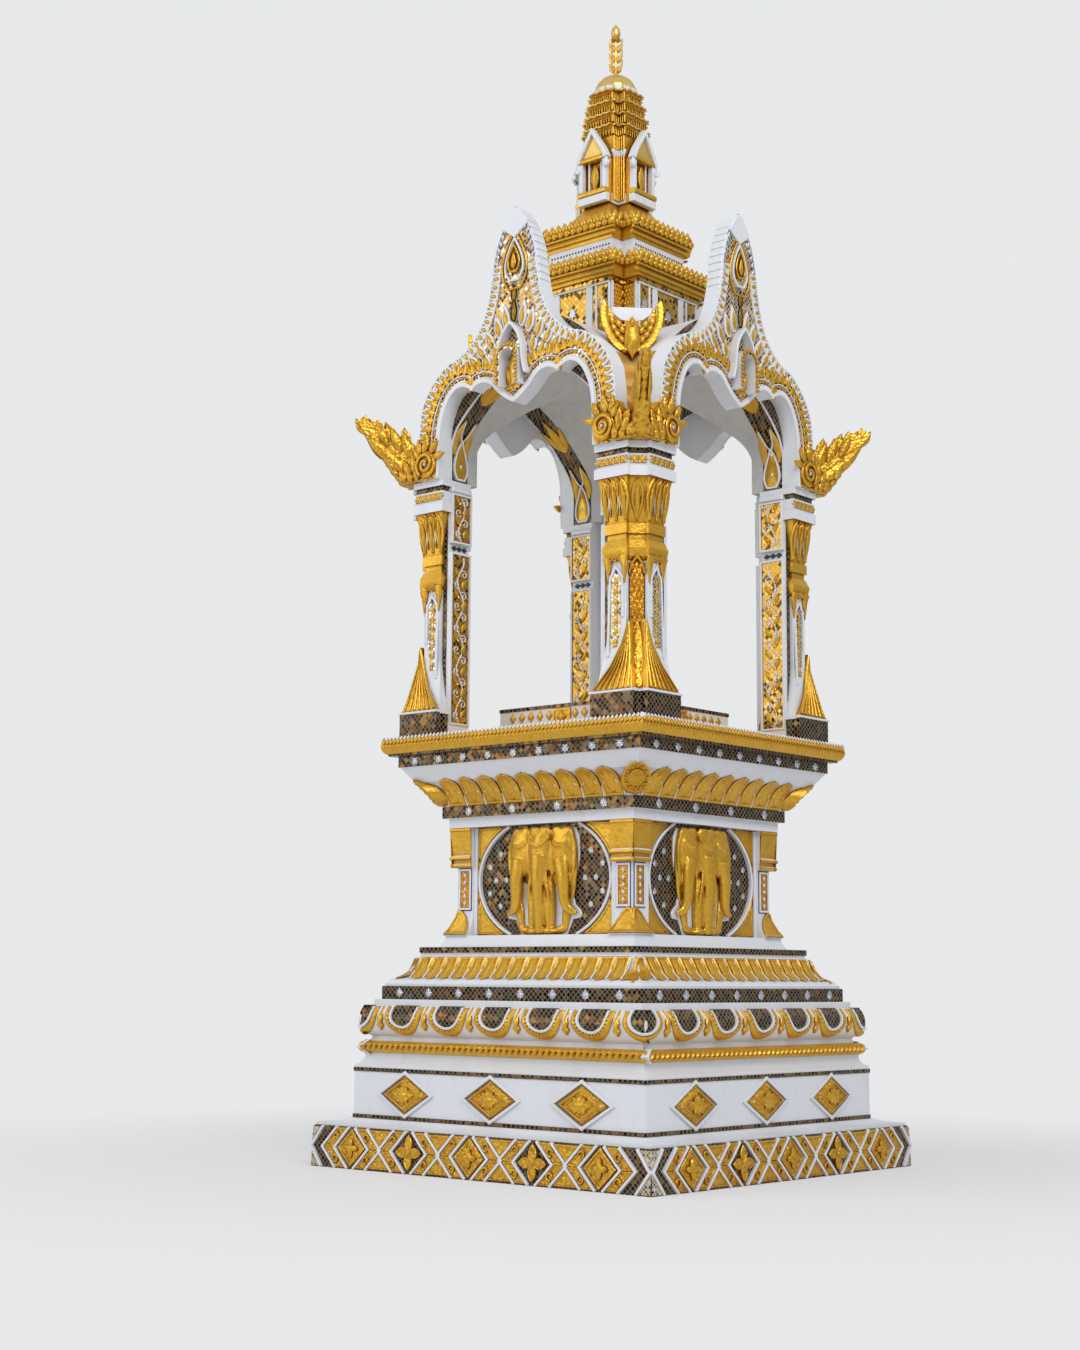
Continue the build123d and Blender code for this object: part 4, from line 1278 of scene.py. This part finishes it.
    def jambs(self) -> None:
        """Scroll panels on the sides of the openings, in white frames."""
        ground = Jamb(flat(302))
        fields, frames, vines, blades = [], [slab(box(86, 2000, 2016), 14, 3), slab(box(88, 1262, 1294), 9, 1)], [], []
        curl = rail(spiral(14, 1.1, 200), band(3, 4, 1.5))
        blade = joined(slab(leaf(14, 34), 5, 1.5, crown=1), slab(flower(6, 0.3), 7, 2, crown=2))
        for low, high, out in ((1296.0, 1810.0, 6.0), (1848.0, 1992.0, 8.0)):
            fields.append((slab(box(76, low, high), 2), [Spot(proud=out)]))
            frames.append(rail(box(80, low - 2, high + 2), band(6, 6 + out, 1), True))
            wave = [(14 * math.sin((z - low) / 21.0), z) for z in np.arange(low + 4, high - 2, 7)]
            vines.append((rail(wave, band(3.5, 4, 1.5)), [Spot(proud=out)]))
            for z in np.arange(low + 26, high - 50, 66.0):
                vines.append((curl, [Spot(14, z, tilt=20, proud=out), Spot(-14, z + 33, tilt=200, proud=out)]))
                blades += [Spot(-8, z - 6, tilt=34, proud=out), Spot(8, z + 27, tilt=-34, proud=out)]
        for name, finish, work in (
                ("jamb_fields", GOLD_TILES, fields), ("jamb_vines", WHITE, vines),
                ("jamb_leaves", GOLD, [(blade, blades)]), ("jamb_frames", WHITE, [(joined(*frames), ONCE)]),
                ("jamb_diamonds", DARK, [(slab(rhomb(24, 16), 4, 1, crown=1), row(3, 22, 1829))])):
            lay(name, finish, ground, *work, mirrored=True)
        lay("pier_strips", AMBER, wall(423), (upright(314, 1262, 2034, 15, 1.5), BOTH))


@dataclass
class Gables:
    """Carved faces of the four gables, with their archivolts, hoods and tips."""

    front: float = 472.0
    outer: list[Point] = field(default_factory=lambda: route(
        (378, 2035), ((374, 2256), 0.04), ((262, 2380), 0.095), ((116, 2502), -0.133), ((84, 2650), -0.032),
        ((14, 2806), 0.067)))
    lower: list[Point] = field(default_factory=lambda: route(
        (0, 2216), ((86, 2282), 0.06), ((169, 2281), -0.187), ((262, 2270), -0.26), ((298, 2145), -0.077),
        ((302, 2035), 0.0)))

    def dress(self) -> None:
        """Makes all the pieces of the gables."""
        for work in (self.archivolt, self.leaves, self.tip, self.hood, self.soffits):
            work()

    def archivolt(self) -> None:
        """White rim and studded band along the cusped lower edge."""
        ground = wall(self.front)
        lines = joined(*(rail(parallel(self.lower, d), band(3, 4)) for d in (15, 33)))
        lay("gable_rims", WHITE, ground, (rail(parallel(self.lower, 6), band(13, 5, 1)), BOTH), (lines, BOTH))
        lay("archivolt_studs", GOLD, ground, (ball(5, 5, 6, 8, 5), pair(along(parallel(self.lower, 24), 15, 8))))

    def leaves(self) -> None:
        """Arched leaves along the outline and flames between them and the archivolt."""
        ground = wall(self.front)
        spots = pair(along(parallel(self.outer, 34), 27, 70, 150, lean=-180))
        lay("outline_leaf_rims", WHITE, ground, (slab(petal(26, 36), 5, 1.5), spots))
        lay("outline_leaves", GOLD, ground, (moved(slab(leaf(13, 25, 0.8), 7, 1.5, crown=2), up=4), spots))
        scroll = joined(slab(arc((0, 0), 34, 34, 0, 340, 18), 9, 3), rail(spiral(31, 1.6, -60, 26), band(8, 14, 3)),
                        *ring(slab(leaf(18, 40, 0.7), 9, 2, crown=3), 30, (0.6, 1.3, 2.0, 2.6), -70))
        place = pair([Spot(346, 2080, 1.15, 1.2, proud=6)])
        lay("corner_scrolls", GOLD, ground, (scroll, place))
        lay("scroll_eyes", PEARL, ground, (ball(9, 9, 18, 8, 5), place))
        flame = joined(slab(leaf(22, 44, 0.7), 5, 1.5, crown=1), *twins(slab(leaf(9, 22), 6, 1.5), 8, 4, 24))
        lay("archivolt_flames", GOLD, ground, (flame, pair(along(parallel(self.lower, 36), 24, 12))))
        lay("outline_edges", WHITE, ground, (rail(parallel(self.outer[:-4], 2), band(4, 4, 1)), BOTH))
        high = pair([Spot(u, z, 1.2, h, -t) for u, z, h, t in (
            (0, 2455, 1.8, 0), (28, 2440, 1.7, 8), (54, 2418, 1.6, 16), (84, 2392, 1.5, 26), (116, 2370, 1.3, 36),
            (148, 2352, 1.1, 44), (66, 2352, 1.4, 18), (98, 2336, 1.2, 28), (130, 2328, 1.0, 34), (0, 2520, 1.2, 0))])
        lay("gable_flame_rims", WHITE, ground, (slab(leaf(26, 48, 0.7), 4.5, 1), high))
        lay("gable_flames", GOLD, ground, (moved(slab(leaf(15, 34, 0.7), 7, 1.5, crown=2), up=4), high))

    def tip(self) -> None:
        """Nested teardrops and sprigs in the tall tip, its white knob, and ribs on its sides."""
        ground = wall(self.front)
        drops = [moved(rail(leaf(98 * s, 178 * s, 0.62, 0.85, 10), band(6, 5 + 2 * k, 2), True), up=2560 + 26 * k)
                 for k, s in enumerate((1.0, 0.72, 0.46))]
        core = moved(slab(leaf(20, 50, 0.6), 12, 2, crown=3), up=2622)
        lay("tip_drops", GOLD, ground, (drops[0], ONCE), (drops[2], ONCE), (core, ONCE))
        sprigs = pair(along(parallel(self.outer[25:], 16), 20, 10, 6, lean=-120))
        lay("tip_sprigs", PEARL, ground, (slab(leaf(11, 26), 5, 1.5, crown=1), sprigs))
        cap = [*closed([(x, z) for x, z in self.outer if z > 2738], (0, 2812)), (0, 2716)]
        lay("tip_lines", WHITE, ground, (drops[1], ONCE), (slab(cap, 8, 3), ONCE))
        rib = slab(box(50, -9, 9), 3, 2)
        lay("tip_ribs", WHITE, Face(moulded(*((z, x) for x, z in self.outer[25:]))),
            *((rib, stack(np.arange(2580, 2780, 24), across)) for across in (447.5, -447.5)))

    def hood(self) -> None:
        """Flame in the hooded recess, small leaves round it and the pointed crown over it."""
        front = wall(self.front)
        flame = joined(slab(leaf(40, 96, 0.6), 10, 2, crown=3), *twins(slab(leaf(14, 50), 14, 2, crown=2), 8, 6, 14))
        lay("hood_flames", GOLD, front, (flame, [Spot(0, 2266)]))
        arch = [(-34, 2266), (-34, 2343)] + arc((0, 2343), 34, 34, 180, 0, 9) + [(34, 2266)]
        lay("hood_leaves", GOLD, wall(self.front + 38), (slab(petal(10, 12), 4, 1, crown=1), along(arch, 12, 6)))
        crown = route((-62, 2290), ((-46, 2370), 0.05), ((0, 2452), -0.1), ((46, 2370), -0.1), ((62, 2290), 0.05))
        lay("hood_crowns", WHITE, front, (rail(crown, band(8, 26, 2)), ONCE))

    def soffits(self) -> None:
        """Leaf flames on the undersides of the arches."""
        ground = Jamb(moulded((2035, 302), (2145, 302), (2190, 282), (2228, 248), (2280, 192), (2320, 133),
                              (2360, 60), (2385, 1)))
        drop, spots = leaf(56, 118, 0.55, 0.8, 10), [Spot(0, 2044)]
        horn = slab(leaf(26, 104, 0.8, 0.9, 9), 4, 1.5, crown=2)
        flame = joined(slab(leaf(40, 80, 0.6, 0.9, 8), 4, 1.5, crown=2),
                       *twins(slab(leaf(18, 60), 6, 1.5, crown=2), 14, 6, 26))
        horns = [Spot(27, 2118, tilt=2), Spot(-27, 2118, tilt=-2)]
        lay("soffit_drops", GOLD, ground, (slab(drop, 4, 1.5, crown=3), spots), (horn, horns),
            (flame, [Spot(0, 2262, proud=2)]), mirrored=True)
        fork = rail(closed([(-22, 2214), (-14, 2178)], (0, 2156)), band(5, 4, 1))
        edge = rail([(41, z) for z in np.linspace(2036, 2372, 22)], band(5, 4))
        lay("soffit_lines", WHITE, ground, (rail(drop, band(6, 6, 1), True), spots), (fork, ONCE), (edge, ONCE),
            mirrored=True)
        lay("soffit_eyes", PEARL, ground, (ball(7, 12, 9, 8, 5), [Spot(0, 2084)]), mirrored=True)


@dataclass
class Roof:
    """Flame finials, crests, the drum and the eaves."""

    drum_half: float = 205.0
    drum_notch: float = 146.0
    leaf_pitch: float = 25.0

    def dress(self) -> None:
        """Makes all the pieces of the roof, from the columns up."""
        for work in (self.flames, self.crests, self.drum):
            work()
        self.eave("lower", 235.0, 177.0, 2688.0)
        self.eave("upper", 190.0, 144.0, 2824.0)
        self.band()

    def flames(self) -> None:
        """Overlapping feathers and a curl on both sides of each corner flame."""
        feather = slab(leaf(40, 112, 0.8, 1.0, 7), 7, 3, crown=6)
        feathers = [Spot(u, z, w, h, t, 12) for u, z, w, h, t in (
            (612, 2042, 1.1, 1.15, -44), (650, 2076, 1.0, 1.1, -46), (690, 2112, 0.9, 1.0, -46),
            (592, 2078, 1.0, 0.95, -24), (624, 2112, 0.9, 0.9, -22), (660, 2138, 0.8, 0.8, -24),
            (700, 2156, 0.7, 0.72, -28))]
        tips = [Spot(u, z, 0.7, 0.55, t) for u, z, t in (
            (770, 2195, -34), (738, 2190, -24), (694, 2178, -16), (645, 2160, -8))]
        for name, spots in (("flame_feathers", feathers), ("flame_tips", tips)):
            lay(name, CHASED, Fin(), (feather, spots), turns=DIAGONALS, mirrored=True)
        edge = Face(moulded((2035, 647), (2072, 678), (2129, 716), (2188, 762), (2231, 800)))
        scales = [Spot(0, 2036 + 21 * k, 1 - 0.07 * k, proud=-7) for k in range(8)]
        lay("flame_breasts", CHASED, edge, (slab(leaf(50, 40, 0.7), 14, 4, crown=6), scales), turns=DIAGONALS)
        body = slab([(304, 2036), (456, 2036), (463, 2062), (448, 2098), (428, 2118), (406, 2106), (384, 2116),
                     (352, 2132), (318, 2122), (303, 2080)], 40, 4)
        fronds = [Spot(*values) for values in (
            (396, 2062, 1.0, 1.0, -8), (414, 2052, 1.0, 0.95, -26), (430, 2044, 1.0, 0.8, -44),
            (440, 2046, 0.9, 0.4, -52), (386, 2038, 1.0, 0.7, 0), (408, 2036, 0.9, 0.6, -20),
            (328, 2108, 0.8, 0.8, 24), (350, 2118, 0.8, 0.9, 6), (372, 2112, 0.8, 0.8, -10))]
        lay("flame_shoulders", CHASED, wall(438), (body, BOTH), (slab(leaf(28, 66, 0.7), 49, 3, crown=5), pair(fronds)))

    def crests(self) -> None:
        """Serrated horns, white field, beak and breast of each valley crest."""
        ground, horn = wall(450), route((16, 2344), ((66, 2398), 0.1), ((78, 2478), 0.08))
        breast = [(0, 2326), (24, 2352), (18, 2420), (0, 2446), (-18, 2420), (-24, 2352)]
        scales = [Spot(s * u, z, tilt=-s * t) for s in (1, -1) for u, z, t in (
            (24, 2366, 30), (36, 2382, 34), (48, 2400, 26), (56, 2420, 14), (22, 2394, 30), (34, 2412, 24))]
        lay("crest_horns", GOLD, ground, (rail(horn, band(20, 6, 5)), BOTH),
            (slab(leaf(15, 27), 12, 2), pair(along(horn, 13, 6, lean=-110))), (slab(breast, 14, 4, crown=6), ONCE),
            (ball(9, 22, 26, 8, 6), [Spot(0, 2424)]), (slab(rhomb(30, 70), 18, 5, crown=4), [Spot(0, 2352)]),
            (slab(leaf(17, 26, 0.8), 9, 2, crown=2), scales), turns=DIAGONALS)
        white = slab(closed([(-60, 2474), (-57, 2456), (-32, 2436)], (0, 2430)), 3, 1)
        lay("crest_fields", WHITE, ground, (white, ONCE), turns=DIAGONALS)
        collar = rail(route((-64, 2300), ((0, 2272), 0.12), ((64, 2300), 0.12)), band(9, 8, 3))
        lay("crest_collars", WHITE, ground, (collar, ONCE), turns=DIAGONALS)

    def drum(self) -> None:
        """Posts, flowers, scaly corner panels and the line under the eave."""
        ground, notch, low, high = wall(self.drum_half), wall(self.drum_notch), 2475, 2626
        posts = joined(*(slab(box(width, low, high, across), 4, 1) for width, across in ((24, 65), (7, 92), (7, 142))))
        lay("drum_posts", WHITE, ground, (posts, BOTH), (level(self.drum_notch, 2624, 7, 6), ONCE))
        bloom = joined(slab(rhomb(26, 36), 4, 1), *rays(slab(leaf(8, 18), 3.5, 1), DIAGONALS))
        lay("drum_flowers", PEARL, ground, (bloom, pair([Spot(117, 2560)]) + [Spot(0, 2550)]))
        scales = [Spot(176 + u + 6 * (k % 2) - 3, 2478 + 13 * k) for k in range(11) for u in (-18, -6, 6, 18)]
        lay("drum_scales", GOLD, notch, (slab(leaf(13, 18, 0.8), 5, 1.5, crown=1), pair(scales)))
        lay("drum_edges", WHITE, notch, (upright(201, low, high, 7, 7), BOTH))

    def eave(self, which: str, half: float, notch: float, height: float) -> None:
        """Two rows of leaves along an eave.

        Args:
            which: the eave's name.
            half: half width of the eave.
            notch: half width in the corner notches.
            height: height of the upper row's foot.
        """
        tooth, scale = slab(leaf(25, 33, 0.62, 1.1), 8, 3, crown=4), slab(leaf(24, 24, 0.7), 11, 3, crown=3)
        count, middle = int(2 * notch // self.leaf_pitch), 0.5 * (half + notch)
        lay(f"{which}_eave_leaves", GOLD, wall(half - 4), (tooth, row(count, self.leaf_pitch, height)),
            (scale, row(count + 1, self.leaf_pitch, height - 14)))
        side = row(2, self.leaf_pitch, height, middle) + row(3, 20, height - 14, middle)
        lay(f"{which}_eave_corner_leaves", GOLD, wall(notch - 4), (tooth, pair(side)))
        rolls = joined(*(level(notch + 2, z, 8, 6, 2) for z in (height - 34, height - 18)))
        lay(f"{which}_eave_rolls", GOLD, Face(moulded((height - 40, half - 16), (height - 4, half - 3))), (rolls, ONCE))

    def band(self) -> None:
        """Dark dots on the white band between the eaves."""
        lay("eave_band_dots", DARK, wall(172), (ball(3.2, 3.6, 3, 6, 4), row(20, 12, 2758)))
        lay("eave_band_line", WHITE, wall(172), (level(126, 2744, 5, 3), ONCE))


@dataclass
class Spire:
    """Niche storey, tiers, dome and finial."""

    niche_front: float = 100.0
    notch: float = 30.0
    tier_halves: tuple[float, ...] = (84.0, 81.0, 76.0, 69.0)
    tier_rise: float = 41.5
    dome_half: float = 69.0
    dome_foot: float = 3316.0

    def dress(self) -> None:
        """Makes all the pieces of the spire, from the eave up."""
        for work in (self.niches, self.corners, self.tiers, self.dome):
            work()

    def niches(self) -> None:
        """Panels, sills and pediments of the niches."""
        ground = wall(self.niche_front)
        pediment = rail([(-56, 3070), (-40, 3104), (0, 3166), (40, 3104), (56, 3070)], band(13, 22, 2))
        posts = joined(*(slab(box(w, 2974, 3068, u), h, 1)
                         for w, u, h in ((13, -46, 17), (6, -24, 3), (6, 24, 3), (13, 46, 17))))
        sill = slab(box(112, 2931, 2956), 18, 1)
        lay("niche_frames", WHITE, ground, (pediment, ONCE), (posts, ONCE), (sill, ONCE))
        bars = joined(level(55, 2965, 15, 20, 2), level(52, 3074, 12, 20, 2),
                      moved(slab(leaf(30, 84, 0.9), 6, 1.5, crown=3), up=2978))
        lay("niche_gold", GOLD, ground, (bars, ONCE))
        gable = [(-42, 3084), (42, 3084), (34, 3102), (0, 3152), (-34, 3102)]
        lay("niche_fields", PALE_GOLD, wall(self.niche_front - 4), (slab(gable, 18), ONCE))
        spray = joined(slab(leaf(20, 34, 0.7), 6, 2, crown=2), moved(slab(leaf(12, 26), 8, 2, crown=2), 4, 0, -34))
        lay("niche_sprays", WHITE, ground, (spray, pair([Spot(48, 3040, tilt=-18, proud=14)])))

    def corners(self) -> None:
        """Fluted gold corners under a scalloped white collar."""
        ground, places = wall(self.tier_halves[0] - self.notch), (60, 69, 78)
        flutes = joined(*(upright(u, z, z + h, 7, 3, 3) for u in places for z, h in ((2940, 148), (3106, 44))))
        lay("corner_flutes", GOLD, ground, (flutes, BOTH))
        collar = joined(*(moved(ball(6, 8, 7, 8, 5), u, 3100) for u in (58, 69, 80)),
                        slab(box(32, 3092, 3102, 69), 5, 1),
                        *(slab([(u - 5, 3094), (u, 3064), (u + 5, 3094)], 5, 1) for u in places))
        lay("corner_collars", WHITE, ground, (collar, BOTH))

    def tiers(self) -> None:
        """Scalloped lips on the tiers, with flutes and ribs under them."""
        for k, half in enumerate(self.tier_halves, 1):
            height, inner = 3150 + (k - 0.16) * self.tier_rise, half - self.notch
            for name, start, end, spots, plane in (("lips", -inner, inner, ONCE, half),
                                                   ("corner_lips", inner, half + 3, BOTH, inner)):
                path = [(u, height + 1.6 * math.cos(u / 4.0)) for u in np.arange(start, end + 1, 3)]
                lay(f"tier_{name}_{k}", PALE_GOLD, wall(plane), (rail(path, band(6, 12, 2)), spots))
            flutes = joined(*(upright(u, height - 30, height - 4, 5, 3, 2) for u in np.arange(inner + 4, half, 8)))
            lay(f"tier_flutes_{k}", GOLD, wall(inner), (flutes, BOTH))
            ribs = joined(*(upright(u, height - 28, height - 4, 4, 2, 1) for u in np.linspace(6, inner - 4, 5)))
            lay(f"tier_ribs_{k}", GOLD, wall(half - 4), (ribs, BOTH))

    def dome(self) -> None:
        """Ribs and a scalloped foot on the dome, and the finial's bud and cup."""
        curve = ((self.dome_foot + 72 * math.sin(a), self.dome_half * math.cos(a)) for a in np.linspace(0, 1.45, 9))
        turns = [22.5 * k for k in range(16)]
        rib = rail([(0, z) for z in np.linspace(3318, 3384, 8)], band(3, 1, 1))
        lay("dome_ribs", PALE_GOLD, Face(moulded(*curve)), (rib, ONCE), turns=[turn + 11.25 for turn in turns])
        scallop = slab([(-12, 3330), (-10, 3318), (0, 3312), (10, 3318), (12, 3330)], 3, 1)
        lay("dome_scallops", WHITE, wall(self.dome_half - 1), (scallop, ONCE), turns=turns)
        lay("finial_bud", PALE_GOLD, wall(0), (ball(15, 25, 15, 12, 8), [Spot(0, 3533)]), turns=[0])
        lay("finial_cup", CARVED, wall(0), (ball(17, 6, 17, 12, 6), [Spot(0, 3510)]), turns=[0])


def dress_castings() -> None:
    """Gives each plain casting its finish."""
    for name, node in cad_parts.items():
        finish = next((finish for finish, starts in CASTINGS.items() if name.startswith(starts)), WHITE)
        node.data.materials.clear()
        node.data.materials.append(painted(finish))
    LOG.info("%d castings painted", len(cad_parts))


@dataclass
class Studio:
    """Pale floor, soft light and the camera."""

    azimuth: float = 0.6787
    distance: float = 6.228
    height: float = 0.543
    yaw: float = 0.0366
    pitch: float = 0.1462
    roll: float = 0.0070
    lens: float = 55.02

    def build(self) -> None:
        """Makes the floor, the lights, the world and the camera."""
        clear()
        bpy.ops.mesh.primitive_plane_add(size=120, location=(0, 0, 0))
        floor = bpy.context.object
        floor.name = "floor"
        floor.data.materials.append(painted(StudioFloor("floor_paint")))
        self.lights()
        self.world()
        self.camera()

    def lights(self) -> None:
        """Large soft lamps on both sides."""
        lamps = (("key", (5.5, -4.0, 6.5), 5.0, 330.0), ("fill", (-4.5, -6.5, 4.0), 6.0, 150.0))
        for name, place, size, power in lamps:
            clear()
            bpy.ops.object.light_add(type="AREA", location=place)
            lamp = bpy.context.object
            lamp.name, lamp.data.size, lamp.data.energy = name, size, power
            lamp.rotation_euler = (Vector((0, 0, 1.6)) - Vector(place)).to_track_quat("-Z", "Y").to_euler()

    def world(self) -> None:
        """Pale surroundings, darker towards the ground."""
        world = bpy.context.scene.world = bpy.data.worlds.new("studio")
        sheet = Sheet(world)
        height = sheet.ramp(sheet.split(sheet.texture["Generated"])[2], -1.0, 1.0)
        sky = sheet.colours(height, ((0.42, (0.26, 0.27, 0.29)), (0.80, (0.95, 0.97, 1.0))))
        light = sheet.add("Background", Color=sky, Strength=0.62).outputs[0]
        shown = sheet.add("Background", Color=(0.80, 0.81, 0.82, 1)).outputs[0]
        seen = sheet.add("LightPath").outputs["Is Camera Ray"]
        sheet.add("OutputWorld", Surface=sheet.either(seen, light, shown))

    def camera(self) -> None:
        """Low camera at the near corner, as the photograph was taken."""
        clear()
        bpy.ops.object.camera_add()
        camera = bpy.context.object
        place = (self.distance * math.sin(self.azimuth), -self.distance * math.cos(self.azimuth), self.height)
        camera.matrix_world = (Matrix.Translation(place) @ Matrix.Rotation(self.azimuth + self.yaw, 4, "Z")
                               @ Matrix.Rotation(0.5 * math.pi + self.pitch, 4, "X")
                               @ Matrix.Rotation(self.roll, 4, "Z"))
        camera.data.sensor_fit = "AUTO"
        camera.data.sensor_width = 36.0
        camera.data.lens = self.lens
        bpy.context.scene.camera = camera


def main() -> None:
    """Builds the shrine's finishes and ornament, then the studio round it."""
    logging.basicConfig(level=logging.INFO, format="%(name)s: %(message)s")
    dress_castings()
    for assembly in (Pedestal, Columns, Gables, Roof, Spire):
        assembly().dress()
    Studio().build()
    bpy.context.scene.view_settings.view_transform = "Standard"


if __name__ == "__main__":
    main()
